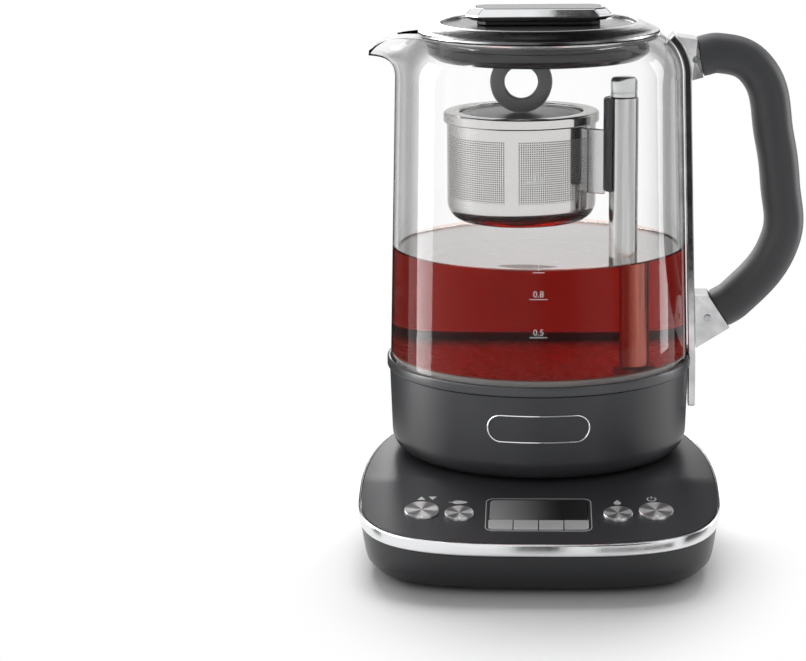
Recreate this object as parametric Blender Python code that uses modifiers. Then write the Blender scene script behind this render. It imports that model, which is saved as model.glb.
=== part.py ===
"""Automatic tea maker: a glass jug with a basket that a sealed screw drive lifts, on its power base.

Lengths are in metres. Heights are above the table and plan places are from the jug's upright
axis, with the front towards -Y and the handle towards +X.
"""
import bpy
import bmesh
import math
from mathutils import Vector

# Shared by all pieces
CLEARANCE = 0.0003
OVERRUN = 0.002
WELD_DISTANCE = 0.00001
WIDE_STEPS = 36
MIDDLE_STEPS = 24
SMALL_STEPS = 12

# Power base: plan
BASE_HALF_WIDTH = 0.083
BASE_FRONT_LENGTH = 0.0548
BASE_REAR_LENGTH = 0.155
BASE_WIDEST_SETBACK = 0.075
FRONT_SQUARENESS = 3.25
REAR_SQUARENESS = 2.6
OUTLINE_POINTS = 64

# Power base: top plate, level under the jug and sloping at the front panel
PLATE_LEVEL = 0.038
PLATE_THICKNESS = 0.0022
PANEL_SLOPE = math.radians(10)
CREASE_SETBACK = 0.0637
CREASE_RADIUS = 0.06
CREASE_STEPS = 4

# Power base: bright band round the edge of the top plate
BAND_HEIGHT = 0.006
BAND_OVERHANG = 0.0012
BAND_LEDGE = 0.003
BAND_ROUNDING = 0.0009

# Power base: lower shell
SHELL_UNDERSIDE = 0.0012
SHELL_WALL = 0.0022
SHELL_TOP_OUTSET = 0.0003
SHELL_WAIST_INSET = 0.0022
SHELL_HIP_INSET = 0.0052
SHELL_TOE_INSET = 0.0085
SHELL_FLOOR_INSET = 0.0125
SHELL_WAIST_HEIGHT = 0.0105
SHELL_HIP_HEIGHT = 0.0058
SHELL_TOE_HEIGHT = 0.0028

# Power base: rubber feet and the screws beside them
FOOT_RADIUS = 0.008
FOOT_POCKET_DEPTH = 0.0009
FRONT_FOOT_SPREAD = 0.05
REAR_FOOT_SPREAD = 0.042
FRONT_FOOT_SETBACK = 0.098
REAR_FOOT_MARGIN = 0.048
BOSS_RADIUS = 0.0042
BOSS_SPREAD = 0.054
BOSS_SETBACK = 0.008
SCREW_SHANK_RADIUS = 0.0015
SCREW_HEAD_RADIUS = 0.003
BASE_SCREW_LENGTH = 0.012

# Power base: cord gland at the back
GLAND_HEIGHT = 0.0155
GLAND_RADIUS = 0.0052
GLAND_FLANGE_RADIUS = 0.0075
GLAND_FLANGE_THICKNESS = 0.0014
GLAND_STAND_OFF = 0.0013
GLAND_BORE_RADIUS = 0.0034
GLAND_REACH = 0.008

# Power base: plug of the turning connector
PLUG_RADIUS = 0.0165
PLUG_RISE = 0.008
PLUG_FLANGE_RADIUS = 0.022
PLUG_FLANGE_THICKNESS = 0.0024
PLUG_BODY_RADIUS = 0.018
PLUG_BODY_LOW = 0.016
PLUG_EDGE = 0.0012
PLUG_GROOVE_INNER = 0.0112
PLUG_GROOVE_OUTER = 0.0136
PLUG_GROOVE_DEPTH = 0.0062
PLUG_BORE_RADIUS = 0.003
PLUG_BORE_DEPTH = 0.0075

# Power base: power board and its relay
POWER_BOARD_LENGTH = 0.062
POWER_BOARD_WIDTH = 0.03
BOARD_THICKNESS = 0.0016
POWER_BOARD_SETBACK = 0.046
STANDOFF_HEIGHT = 0.004
STANDOFF_RADIUS = 0.0025
STANDOFF_MARGIN = 0.004
RELAY_LENGTH = 0.0195
RELAY_WIDTH = 0.0155
RELAY_HEIGHT = 0.0148

# Front panel: heights are from its surface, along its slope
PANEL_LINE_SETBACK = 0.098
BIG_BUTTON_RADIUS = 0.008
SMALL_BUTTON_RADIUS = 0.0068
BIG_BUTTON_SPREAD = 0.054
SMALL_BUTTON_SPREAD = 0.0365
SMALL_BUTTON_DROP = 0.003
BUTTON_RISE = 0.0014
BUTTON_EDGE = 0.0004
BUTTON_FLANGE = 0.0011
BUTTON_FLANGE_THICKNESS = 0.0012
BUTTON_STEM_RADIUS = 0.0022
BUTTON_STEM_LENGTH = 0.0014
BUTTON_TRAVEL = 0.0008
WINDOW_HALF_LENGTH = 0.0226
WINDOW_TOP = 0.0122
WINDOW_LOW = -0.0085
WINDOW_THICKNESS = 0.0016
WINDOW_CORNER = 0.0025
KEY_COUNT = 4
KEY_WIDTH = 0.0111
KEY_GAP = 0.0005
KEY_LENGTH = 0.0088
KEY_RISE = 0.0008
KEY_CORNER = 0.0026
KEY_LIP = 0.001
SWITCH_SIDE = 0.006
SWITCH_HEIGHT = 0.003
PANEL_BOARD_HALF_LENGTH = 0.066
PANEL_BOARD_REAR = 0.017
PANEL_BOARD_FRONT = 0.02
PANEL_BOARD_CORNER = 0.017
PANEL_POST_RADIUS = 0.0022
REAR_POST_SPREAD = 0.062
REAR_POST_PLACE = 0.0135
FRONT_POST_SPREAD = 0.0455
FRONT_POST_PLACE = 0.0145

# Jug: housing bowl and the parts that close it
HOUSING_OUTSET = 0.0005
HOUSING_TAPER = 0.001
HOUSING_CORNER = 0.01
HOUSING_WALL = 0.0024
HOUSING_HEIGHT = 0.0417
SHELF_THICKNESS = 0.0022
SHELF_WIDTH = 0.0045
COVER_MARGIN = 0.0157
COVER_THICKNESS = 0.0025
COVER_SCREW_COUNT = 3
COVER_SCREW_TURN = math.radians(67)
COVER_SCREW_MARGIN = 0.0022
RIM_OUTSET = 0.0017
RIM_HEIGHT = 0.0047
RIM_LEDGE = 0.0015
RIM_LEDGE_WIDTH = 0.0109
RIM_ROUNDING = 0.0005

# Jug: socket of the turning connector
SOCKET_FLANGE_RADIUS = 0.0245
SOCKET_FLANGE_THICKNESS = 0.0022
SOCKET_BODY_RADIUS = 0.0225
SOCKET_HEIGHT = 0.0197
SOCKET_PIN_RADIUS = 0.0022
SOCKET_PIN_LENGTH = 0.0064
SOCKET_RING_LENGTH = 0.005

# Jug: floor that heats
SEAL_THICKNESS = 0.001
SEAL_HEIGHT = 0.005
SEAL_LIP = 0.0028
HEATER_THICKNESS = 0.0012
ELEMENT_RING_RADIUS = 0.0245
ELEMENT_TUBE_RADIUS = 0.0033
ELEMENT_GAP = math.radians(50)
ELEMENT_STEPS = 22
SENSOR_RADIUS = 0.0045
SENSOR_HEIGHT = 0.008
SENSOR_REACH = 0.04

# Jug: glass body with its spout
GLASS_RADIUS = 0.0729
GLASS_TAPER = 0.0036
GLASS_WALL = 0.0026
GLASS_WALL_HEIGHT = 0.1386
SHOULDER_RISE = 0.0235
SHOULDER_DEPTH = 0.022
SHOULDER_ANGLE = math.radians(60)
SHOULDER_STEPS = 6
GLASS_WALL_STEPS = 3
SPOUT_LENGTH = 0.0127
SPOUT_RISE = 0.01
SPOUT_SPREAD = math.radians(13)
SPOUT_DROP_POWER = 3.6
SPOUT_FINE_STEPS = 3
SPOUT_PATH_SHARES = (
    (0.0, 0.0),
    (0.02, 0.3),
    (0.1, 0.55),
    (0.25, 0.76),
    (0.48, 0.9),
    (0.75, 0.97),
    (1.0, 1.0),
)

# Jug: handle
STRAP_THICKNESS = 0.0034
STRAP_WIDTH = 0.018
STRAP_FOOT_DROP = 0.02
STRAP_END_ANGLE = math.radians(48)
GRIP_STAND_OFF = 0.0082
GRIP_TOP_RISE = 0.0088
GRIP_HEIGHT = 0.1235
GRIP_BOW = 0.04
GRIP_DEPTH = 0.0192
GRIP_WIDTH = 0.024
GRIP_SECTION_POINTS = 16
GRIP_RESOLUTION = 4
GRIP_SECTION_POWER = 0.8
GRIP_PATH_SHARES = (
    (0.0, 1.0),
    (0.22, 1.012),
    (0.655, 0.956),
    (0.905, 0.678),
    (0.982, 0.5),
    (1.0, 0.282),
    (0.453, 0.039),
    (0.268, 0.0),
)
BRACKET_WIDTH = 0.02
BRACKET_DEPTH = 0.0182
UPPER_BRACKET_DROP = 0.001
UPPER_BRACKET_SPAN = 0.0225
UPPER_BRACKET_LAP = 0.0025
LOWER_BRACKET_DROP = 0.0063
LOWER_BRACKET_SPAN = 0.0285
BRACKET_PIN_RADIUS = 0.001
BRACKET_PIN_HEAD_RADIUS = 0.0017
BRACKET_PIN_HEAD = 0.0006
BRACKET_PIN_SHIFT = -0.0005

# Jug: badge ring on the housing
BADGE_HALF_LENGTH = 0.0243
BADGE_HALF_HEIGHT = 0.0064
BADGE_DROP = 0.0155
BADGE_WIRE = 0.0004
BADGE_END_STEPS = 6
BADGE_SIDE_STEPS = 5

# Lift: sealed post with the screw drive inside
POST_PLACE_SHARES = (0.569, -0.3841)
POST_RADIUS = 0.0068
POST_WALL = 0.0007
POST_LID_GAP = 0.0063
POST_TAIL = 0.0189
CAP_RADIUS = 0.0063
CAP_HEIGHT = 0.0092
CAP_ROUNDING = 0.0008
CAP_SPIGOT = 0.003
COLLAR_RADIUS = 0.0098
COLLAR_HEIGHT = 0.0024
SLEEVE_WALL = 0.0014
SLEEVE_FLANGE = 0.0036
SLEEVE_FLANGE_THICKNESS = 0.0016
MOTOR_RADIUS = 0.0078
MOTOR_LENGTH = 0.0179
SCREW_RADIUS = 0.0023
SCREW_SOCKET_RADIUS = 0.0045
SCREW_SOCKET_LENGTH = 0.007
NUT_RADIUS = 0.0034
NUT_FLANGE_THICKNESS = 0.0018
NUT_LENGTH = 0.036
MAGNET_COUNT = 4

# Basket
BASKET_PLACE_SHARES = (-0.1138, -0.0427)
BASKET_RADIUS_SHARE = 0.5121
BASKET_WALL = 0.0009
BASKET_DEPTH = 0.0478
BASKET_DROP = 0.014
BASKET_CORNER = 0.009
BASKET_RIM_OUTSET = 0.0016
BASKET_RIM_HEIGHT = 0.005
BASKET_RIM_EDGE = 0.0012
BASKET_LID_INSET = 0.0065
BASKET_LID_THICKNESS = 0.0018
BASKET_LEDGE = 0.0022
BASKET_LEDGE_THICKNESS = 0.0014
RING_RADIUS = 0.015
RING_HOLE_RADIUS = 0.008
RING_THICKNESS = 0.0044
RING_STEPS = 28
SLIDER_WALL = 0.0024
SLIDER_LENGTH = 0.0444
SLIDER_SWEEP = math.radians(86)
SLIDER_STEPS = 10
WEB_THICKNESS = 0.0022
WEB_HEIGHT = 0.031
WEB_DROP = 0.0018

# Lid
LID_RING_INSET = 0.0001
LID_RING_EDGE = 0.0008
LID_RING_HEIGHT = 0.0055
LID_RING_WIDTH = 0.0109
LID_CROWN_SHARE = 0.32
LID_RING_LEDGE = 0.0035
LID_RING_LEDGE_THICKNESS = 0.0022
LID_DISC_THICKNESS = 0.0017
LID_PLUG_INSET = 0.0053
LID_PLUG_DEPTH = 0.0121
LID_PLUG_TAPER = 0.0045
LID_PLUG_TAPER_HEIGHT = 0.0032
LID_PLUG_WALL = 0.002
LID_GASKET_WIDTH = 0.003
LID_GASKET_HEIGHT = 0.002
LID_GASKET_DROP = 0.001
KNOB_HALF_LENGTH = 0.035
KNOB_HALF_WIDTH = 0.0135
KNOB_LIFT = 0.0024
KNOB_HEIGHT = 0.006
KNOB_INLAY_DEPTH = 0.0008
KNOB_INLAY_MARGIN = 0.0016
NECK_HALF_LENGTH = 0.0295
NECK_HALF_WIDTH = 0.0095
KNOB_CORNER_SHARE = 0.45
KNOB_LEVEL_SHARES = ((0.0, 0.9), (0.3, 1.0), (0.45, 1.0), (0.88, 0.93), (1.0, 0.9))

# Worked out from the sizes above
BAND_OUTER = BASE_HALF_WIDTH + BAND_OVERHANG
BASE_FRONT = -(BASE_WIDEST_SETBACK + BASE_FRONT_LENGTH)
BASE_REAR = BASE_REAR_LENGTH - BASE_WIDEST_SETBACK
SHELL_FLOOR = SHELL_UNDERSIDE + SHELL_WALL
REAR_FOOT_SETBACK = BASE_REAR - REAR_FOOT_MARGIN
PLATE_UNDERSIDE = PLATE_LEVEL - PLATE_THICKNESS
PLUG_TOP = PLATE_LEVEL + PLUG_RISE
BUTTON_LOW = -(PLATE_THICKNESS + CLEARANCE)
SWITCH_TOP = BUTTON_LOW - BUTTON_FLANGE_THICKNESS - BUTTON_STEM_LENGTH - BUTTON_TRAVEL - CLEARANCE
PANEL_BOARD_TOP = SWITCH_TOP - SWITCH_HEIGHT - CLEARANCE

JUG_BOTTOM = PLATE_LEVEL + CLEARANCE
COVER_TOP = JUG_BOTTOM + COVER_THICKNESS
HOUSING_RADIUS = GLASS_RADIUS + HOUSING_OUTSET
HOUSING_LOW_RADIUS = HOUSING_RADIUS - HOUSING_TAPER
HOUSING_TOP = JUG_BOTTOM + HOUSING_HEIGHT
COVER_RADIUS = HOUSING_LOW_RADIUS - COVER_MARGIN
SOCKET_BODY_TOP = JUG_BOTTOM + SOCKET_HEIGHT
BADGE_HEIGHT = HOUSING_TOP - BADGE_DROP
RIM_RADIUS = GLASS_RADIUS + RIM_OUTSET
RIM_LOW = HOUSING_TOP + CLEARANCE
RIM_TOP = RIM_LOW + RIM_HEIGHT
RIM_LEDGE_TOP = RIM_LOW + RIM_LEDGE
RIM_LEDGE_RADIUS = GLASS_RADIUS - RIM_LEDGE_WIDTH
HEATER_LOW = RIM_LEDGE_TOP + CLEARANCE
HEATER_TOP = HEATER_LOW + HEATER_THICKNESS

GLASS_LOW = HEATER_LOW + SEAL_THICKNESS + CLEARANCE
GLASS_INNER = GLASS_RADIUS - GLASS_WALL
GLASS_NECK_RADIUS = GLASS_RADIUS - GLASS_TAPER
SEAL_INNER = GLASS_INNER - CLEARANCE - SEAL_LIP
HEATER_RADIUS = SEAL_INNER - CLEARANCE
SHOULDER_HEIGHT = GLASS_LOW + GLASS_WALL_HEIGHT
SHOULDER_CENTRE = GLASS_NECK_RADIUS - SHOULDER_DEPTH
MOUTH_RADIUS = SHOULDER_CENTRE + SHOULDER_DEPTH * math.cos(SHOULDER_ANGLE)
MOUTH_HEIGHT = SHOULDER_HEIGHT + SHOULDER_RISE * math.sin(SHOULDER_ANGLE)

STRAP_FOOT = HOUSING_TOP - STRAP_FOOT_DROP
GRIP_TOP_REACH = GLASS_NECK_RADIUS + GRIP_STAND_OFF
GRIP_REACH = GRIP_TOP_REACH + GRIP_BOW
GRIP_TOP_HEIGHT = SHOULDER_HEIGHT + GRIP_TOP_RISE
GRIP_FOOT_HEIGHT = GRIP_TOP_HEIGHT - GRIP_HEIGHT
UPPER_BRACKET_HEIGHT = GRIP_TOP_HEIGHT - UPPER_BRACKET_DROP
LOWER_BRACKET_HEIGHT = GRIP_FOOT_HEIGHT - LOWER_BRACKET_DROP

LID_RING_RADIUS = MOUTH_RADIUS - LID_RING_INSET
LID_RING_INNER = LID_RING_RADIUS - LID_RING_WIDTH
LID_RING_LOW = MOUTH_HEIGHT + CLEARANCE
LID_RING_TOP = LID_RING_LOW + LID_RING_HEIGHT
LID_DISC_LOW = LID_RING_LOW + LID_RING_LEDGE_THICKNESS + CLEARANCE
LID_DISC_TOP = LID_DISC_LOW + LID_DISC_THICKNESS
LID_PLUG_RADIUS = MOUTH_RADIUS - LID_PLUG_INSET
LID_PLUG_LOW = LID_RING_LOW - LID_PLUG_DEPTH
KNOB_TOP = LID_DISC_TOP + KNOB_LIFT + KNOB_HEIGHT

POST_X = GLASS_INNER * POST_PLACE_SHARES[0]
POST_Y = GLASS_INNER * POST_PLACE_SHARES[1]
POST_TOP = LID_PLUG_LOW - POST_LID_GAP - CAP_HEIGHT - CLEARANCE
POST_FOOT = HEATER_LOW - POST_TAIL
MOTOR_LOW = POST_FOOT - CLEARANCE - MOTOR_LENGTH
POST_BORE = POST_RADIUS - POST_WALL
NUT_TOP = POST_TOP - CAP_SPIGOT - CLEARANCE

BASKET_X = GLASS_INNER * BASKET_PLACE_SHARES[0]
BASKET_Y = GLASS_INNER * BASKET_PLACE_SHARES[1]
BASKET_RADIUS = GLASS_INNER * BASKET_RADIUS_SHARE
BASKET_TOP = POST_TOP - BASKET_DROP
BASKET_FLOOR = BASKET_TOP - BASKET_DEPTH
BASKET_RIM_RADIUS = BASKET_RADIUS + BASKET_RIM_OUTSET
BASKET_RIM_TOP = BASKET_TOP + BASKET_RIM_HEIGHT
BASKET_LID_RADIUS = BASKET_RADIUS - BASKET_LID_INSET
BASKET_LID_LOW = BASKET_TOP + CLEARANCE + BASKET_LEDGE_THICKNESS + CLEARANCE
BASKET_LID_TOP = BASKET_LID_LOW + BASKET_LID_THICKNESS
RING_CENTRE_HEIGHT = BASKET_LID_TOP + RING_RADIUS
SLIDER_LOW = POST_TOP - SLIDER_LENGTH
WEB_TOP = BASKET_TOP - WEB_DROP
WEB_LOW = WEB_TOP - WEB_HEIGHT
POST_ANGLE = math.atan2(POST_Y - BASKET_Y, POST_X - BASKET_X)
POST_DISTANCE = math.hypot(POST_X - BASKET_X, POST_Y - BASKET_Y)


def clear_scene():
    """Start from an empty scene with one collection for the parts and one for the cutters."""
    for item in list(bpy.data.objects):
        bpy.data.objects.remove(item, do_unlink=True)
    for name in ("automatic_tea_maker", "cutters"):
        group = bpy.data.collections.get(name) or bpy.data.collections.new(name)
        if name not in bpy.context.scene.collection.children:
            bpy.context.scene.collection.children.link(group)


def finish(name, colour, roughness, metallic=0.0, transmission=0.0):
    """A Principled material."""
    material = bpy.data.materials.get(name) or bpy.data.materials.new(name)
    material.use_nodes = True
    shader = material.node_tree.nodes["Principled BSDF"]
    shader.inputs["Base Color"].default_value = (*colour, 1.0)
    shader.inputs["Roughness"].default_value = roughness
    shader.inputs["Metallic"].default_value = metallic
    shader.inputs["Transmission Weight"].default_value = transmission
    material.diffuse_color = (*colour, 1.0)
    return material


def graphite():
    return finish("graphite_plastic", (0.075, 0.078, 0.085), 0.42)


def bright_steel():
    return finish("polished_steel", (0.78, 0.78, 0.8), 0.1, metallic=1.0)


def brushed_steel():
    return finish("brushed_steel", (0.62, 0.62, 0.64), 0.3, metallic=1.0)


def black_plastic():
    return finish("black_plastic", (0.02, 0.02, 0.022), 0.3)


def silicone():
    return finish("grey_silicone", (0.3, 0.3, 0.31), 0.6)


def clear_glass():
    return finish("clear_glass", (0.95, 0.97, 0.97), 0.02, transmission=1.0)


def board_green():
    return finish("circuit_board", (0.03, 0.16, 0.07), 0.5)


def brass():
    return finish("brass", (0.75, 0.55, 0.25), 0.3, metallic=1.0)


def place(item, material, parent, location=(0.0, 0.0, 0.0)):
    """Put a new object under its parent with its material."""
    bpy.data.collections["automatic_tea_maker"].objects.link(item)
    item.parent = parent
    item.location = location
    if material is not None:
        item.data.materials.append(material)
    return item


def empty(name, parent, location, tilt=0.0):
    """A frame or joint axis that pieces hang from."""
    item = bpy.data.objects.new(name, None)
    place(item, None, parent, location)
    item.rotation_euler.x = tilt
    return item


def turned(name, profile, material, parent, location=(0.0, 0.0, 0.0), steps=WIDE_STEPS):
    """Turn a profile of (radius, height) points, which runs down its outer side, about Z."""
    mesh = bpy.data.meshes.new(name)
    shape = bmesh.new()
    corners = [shape.verts.new((radius, 0.0, height)) for radius, height in profile]
    on_axis = profile[0][0] == 0.0 and profile[-1][0] == 0.0
    for start, end in zip(corners, corners[1:] + ([] if on_axis else corners[:1])):
        shape.edges.new((start, end))
    shape.to_mesh(mesh)
    shape.free()
    item = place(bpy.data.objects.new(name, mesh), material, parent, location)
    screw = item.modifiers.new("turn", "SCREW")
    screw.steps = steps
    screw.render_steps = steps
    screw.use_merge_vertices = True
    screw.merge_threshold = WELD_DISTANCE
    return item


def loft(name, rings, material, parent, location=(0.0, 0.0, 0.0), capped=True, joined=False):
    """Skin a row of like rings of points, with flat ends or joined end to end."""
    mesh = bpy.data.meshes.new(name)
    shape = bmesh.new()
    rows = [[shape.verts.new(point) for point in ring] for ring in rings]
    for low, high in zip(rows, rows[1:] + (rows[:1] if joined else [])):
        for index in range(len(low)):
            after = (index + 1) % len(low)
            shape.faces.new((low[index], low[after], high[after], high[index]))
    if capped and not joined:
        shape.faces.new(rows[0])
        shape.faces.new(rows[-1])
    bmesh.ops.recalc_face_normals(shape, faces=shape.faces)
    shape.to_mesh(mesh)
    shape.free()
    return place(bpy.data.objects.new(name, mesh), material, parent, location)


def flat(name, outline, low, high, material, parent, location=(0.0, 0.0, 0.0)):
    """A flat outline given thickness: a filled 2D curve, made a mesh so that it can be cut."""
    curve = bpy.data.curves.new(name, "CURVE")
    curve.dimensions = "2D"
    curve.fill_mode = "BOTH"
    curve.extrude = (high - low) / 2
    spline = curve.splines.new("POLY")
    spline.points.add(len(outline) - 1)
    for point, (x, y) in zip(spline.points, outline):
        point.co = (x, y, 0.0, 1.0)
    spline.use_cyclic_u = True
    guide = bpy.data.objects.new(name, curve)
    item = mesh_from_curve(guide, name)
    for vertex in item.data.vertices:
        vertex.co.z += (high + low) / 2
    return place(item, material, parent, location)


def mesh_from_curve(guide, name):
    """The evaluated mesh of a curve, with its caps welded."""
    bpy.context.scene.collection.objects.link(guide)
    graph = bpy.context.evaluated_depsgraph_get()
    mesh = bpy.data.meshes.new_from_object(guide.evaluated_get(graph))
    shape = bmesh.new()
    shape.from_mesh(mesh)
    bmesh.ops.remove_doubles(shape, verts=shape.verts, dist=WELD_DISTANCE)
    bmesh.ops.recalc_face_normals(shape, faces=shape.faces)
    shape.to_mesh(mesh)
    shape.free()
    matrix = guide.matrix_world.copy()
    bpy.data.objects.remove(guide, do_unlink=True)
    item = bpy.data.objects.new(name, mesh)
    item.matrix_world = matrix
    return item


def block(name, size, material, parent, location=(0.0, 0.0, 0.0)):
    """A box, centred on its place."""
    mesh = bpy.data.meshes.new(name)
    shape = bmesh.new()
    bmesh.ops.create_cube(shape, size=1.0)
    bmesh.ops.scale(shape, vec=size, verts=shape.verts)
    shape.to_mesh(mesh)
    shape.free()
    return place(bpy.data.objects.new(name, mesh), material, parent, location)


def rod(name, radius, low, high, material, parent, location=(0.0, 0.0, 0.0), steps=SMALL_STEPS):
    """An upright cylinder."""
    profile = [(0.0, high), (radius, high), (radius, low), (0.0, low)]
    return turned(name, profile, material, parent, location, steps)


def wire(name, points, radius, material, parent, closed=False):
    """A round tube along points."""
    curve = bpy.data.curves.new(name, "CURVE")
    curve.dimensions = "3D"
    curve.bevel_depth = radius
    curve.bevel_resolution = 2
    curve.use_fill_caps = True
    spline = curve.splines.new("POLY")
    spline.points.add(len(points) - 1)
    for point, place_of_point in zip(spline.points, points):
        point.co = (*place_of_point, 1.0)
    spline.use_cyclic_u = closed
    item = mesh_from_curve(bpy.data.objects.new(name, curve), name)
    return place(item, material, parent)


def combine(piece, other, operation="DIFFERENCE"):
    """Cut a piece by another solid, or join that solid to it, and hide the other."""
    step = piece.modifiers.new(operation.lower() + "_" + other.name, "BOOLEAN")
    step.operation = operation
    step.object = other
    other.hide_render = True
    other.display_type = "WIRE"
    for group in list(other.users_collection):
        group.objects.unlink(other)
    bpy.data.collections["cutters"].objects.link(other)


def soften(piece, width, segments=2):
    """Round the sharp edges of a piece."""
    step = piece.modifiers.new("rounding", "BEVEL")
    step.width = width
    step.segments = segments
    step.limit_method = "ANGLE"
    step.angle_limit = math.radians(40)


def arc(centre, radius, start, end, steps):
    """Points along an arc in a plane, from one angle in degrees to another."""
    points = []
    for step in range(steps + 1):
        angle = math.radians(start + (end - start) * step / steps)
        points.append((centre[0] + radius * math.cos(angle), centre[1] + radius * math.sin(angle)))
    return points


def rounded_rectangle(left, right, low, high, corner):
    """Outline of a rectangle with four round corners."""
    corners = ((right, high, 0), (left, high, 90), (left, low, 180), (right, low, 270))
    outline = []
    for x, y, start in corners:
        centre_x = x - math.copysign(corner, x - (left + right) / 2)
        centre_y = y - math.copysign(corner, y - (low + high) / 2)
        outline += arc((centre_x, centre_y), corner, start, start + 90, 3)
    return outline


def plate_height(y):
    """Height of the top plate: level under the jug, then falling forwards as the panel."""
    tangent = CREASE_RADIUS * math.tan(PANEL_SLOPE / 2)
    start = tangent - CREASE_SETBACK
    if y >= start:
        return PLATE_LEVEL
    if y <= -CREASE_SETBACK - tangent * math.cos(PANEL_SLOPE):
        return PLATE_LEVEL + (y + CREASE_SETBACK) * math.tan(PANEL_SLOPE)
    return PLATE_LEVEL - CREASE_RADIUS + math.sqrt(CREASE_RADIUS ** 2 - (start - y) ** 2)


def outline_point(angle, outset):
    """One point of the base's plan: two unlike superellipse halves that meet at its widest line."""
    rear = math.sin(angle) >= 0
    squareness = REAR_SQUARENESS if rear else FRONT_SQUARENESS
    length = BASE_REAR_LENGTH if rear else BASE_FRONT_LENGTH
    across = math.copysign(abs(math.cos(angle)) ** (2 / squareness), math.cos(angle))
    along = math.copysign(abs(math.sin(angle)) ** (2 / squareness), math.sin(angle))
    return across * (BASE_HALF_WIDTH + outset), along * (length + outset) - BASE_WIDEST_SETBACK


def outline_angles():
    """Angles that space the plan's points evenly along its edge."""
    fine = [math.tau * step / (OUTLINE_POINTS * 20) for step in range(OUTLINE_POINTS * 20 + 1)]
    places = [Vector(outline_point(angle, 0.0)) for angle in fine]
    lengths = [0.0]
    for start, end in zip(places, places[1:]):
        lengths.append(lengths[-1] + (end - start).length)
    angles = []
    for index in range(OUTLINE_POINTS):
        wanted = lengths[-1] * index / OUTLINE_POINTS
        nearest = min(range(len(lengths)), key=lambda entry: abs(lengths[entry] - wanted))
        angles.append(fine[nearest])
    return angles


def base_outline(outset, angles):
    """The base's plan, grown by an outset."""
    return [outline_point(angle, outset) for angle in angles]


def base_ring(outset, drop, angles):
    """A ring round the base that keeps a drop below the top plate's surface."""
    return [(x, y, plate_height(y) - drop) for x, y in base_outline(outset, angles)]


def make_base_plate(parent, panel, angles):
    """Top plate: its plan is cut to the side profile, then opened for what comes through it."""
    low = SHELL_UNDERSIDE
    high = PLATE_LEVEL + OVERRUN
    plate = flat("base_top_plate", base_outline(-CLEARANCE, angles), low, high, graphite(), parent)
    rear = BASE_REAR + OVERRUN
    front = BASE_FRONT - OVERRUN
    tangent = CREASE_RADIUS * math.tan(PANEL_SLOPE / 2)
    crease_start = tangent - CREASE_SETBACK
    crease_end = -CREASE_SETBACK - tangent * math.cos(PANEL_SLOPE)
    stops = [rear]
    for step in range(CREASE_STEPS + 1):
        stops.append(crease_start + (crease_end - crease_start) * step / CREASE_STEPS)
    stops.append(front)
    top = [(y, plate_height(y)) for y in stops]
    bottom = [(y, height - PLATE_THICKNESS) for y, height in reversed(top)]
    half = BAND_OUTER + OVERRUN
    rings = [[(x, y, z) for y, z in top + bottom] for x in (-half, half)]
    combine(plate, loft("side_profile", rings, None, parent), "INTERSECT")

    for side in (-1, 1):
        where = (side * BOSS_SPREAD, BOSS_SETBACK, 0.0)
        boss_top = PLATE_LEVEL - PLATE_THICKNESS / 2
        boss = rod(f"plate_boss_{side}", BOSS_RADIUS, SHELL_FLOOR + CLEARANCE, boss_top, None, parent, where)
        combine(plate, boss, "UNION")
        pilot = rod(f"plate_pilot_{side}", SCREW_SHANK_RADIUS + CLEARANCE, SHELL_UNDERSIDE,
                    SHELL_UNDERSIDE + BASE_SCREW_LENGTH + OVERRUN, None, parent, where)
        combine(plate, pilot)
        for across, along in ((REAR_POST_SPREAD, REAR_POST_PLACE), (FRONT_POST_SPREAD, -FRONT_POST_PLACE)):
            post = rod(f"panel_post_{side}_{'rear' if along > 0 else 'front'}", PANEL_POST_RADIUS,
                       PANEL_BOARD_TOP + CLEARANCE, -PLATE_THICKNESS / 2, None, panel,
                       (side * across, along, 0.0))
            combine(plate, post, "UNION")

    connector_hole = rod("connector_hole", PLUG_RADIUS + CLEARANCE, PLATE_UNDERSIDE - OVERRUN,
                         PLATE_LEVEL + OVERRUN, None, parent, steps=WIDE_STEPS)
    combine(plate, connector_hole)
    for name, spread, along, radius in round_buttons():
        hole = rod(name + "_hole", radius + CLEARANCE, -PLATE_THICKNESS - OVERRUN, OVERRUN, None, panel,
                   (spread, along, 0.0), MIDDLE_STEPS)
        combine(plate, hole)
    window = window_solid("window_opening", CLEARANCE, -PLATE_THICKNESS - OVERRUN, OVERRUN, None, panel)
    combine(plate, window)
    half_row = (KEY_COUNT * (KEY_WIDTH + KEY_GAP) - KEY_GAP) / 2
    corner = KEY_CORNER + CLEARANCE
    corner_x = half_row - KEY_CORNER
    corner_y = key_line() - KEY_LENGTH / 2 + KEY_CORNER
    top = key_line() + KEY_LENGTH / 2 + CLEARANCE
    outline = [(half_row + CLEARANCE, top), (-half_row - CLEARANCE, top)]
    outline += arc((-corner_x, corner_y), corner, 180, 270, 4)
    outline += arc((corner_x, corner_y), corner, 270, 360, 4)
    combine(plate, flat("key_opening", outline, -PLATE_THICKNESS - OVERRUN, OVERRUN, None, panel))
    return plate


def make_trim_band(parent, angles):
    """Bright band: it wraps the plate's edge, and the plate lies on its inner ledge."""
    ledge_drop = PLATE_THICKNESS + CLEARANCE
    section = [
        (0.0, 0.0),
        (BAND_OVERHANG - BAND_ROUNDING, 0.0),
        (BAND_OVERHANG, BAND_ROUNDING),
        (BAND_OVERHANG, BAND_HEIGHT - BAND_ROUNDING),
        (BAND_OVERHANG - BAND_ROUNDING, BAND_HEIGHT),
        (-BAND_LEDGE, BAND_HEIGHT),
        (-BAND_LEDGE, ledge_drop),
        (0.0, ledge_drop),
    ]
    rings = [base_ring(outset, drop, angles) for outset, drop in section]
    return loft("chrome_trim_band", rings, bright_steel(), parent, joined=True)


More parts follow.
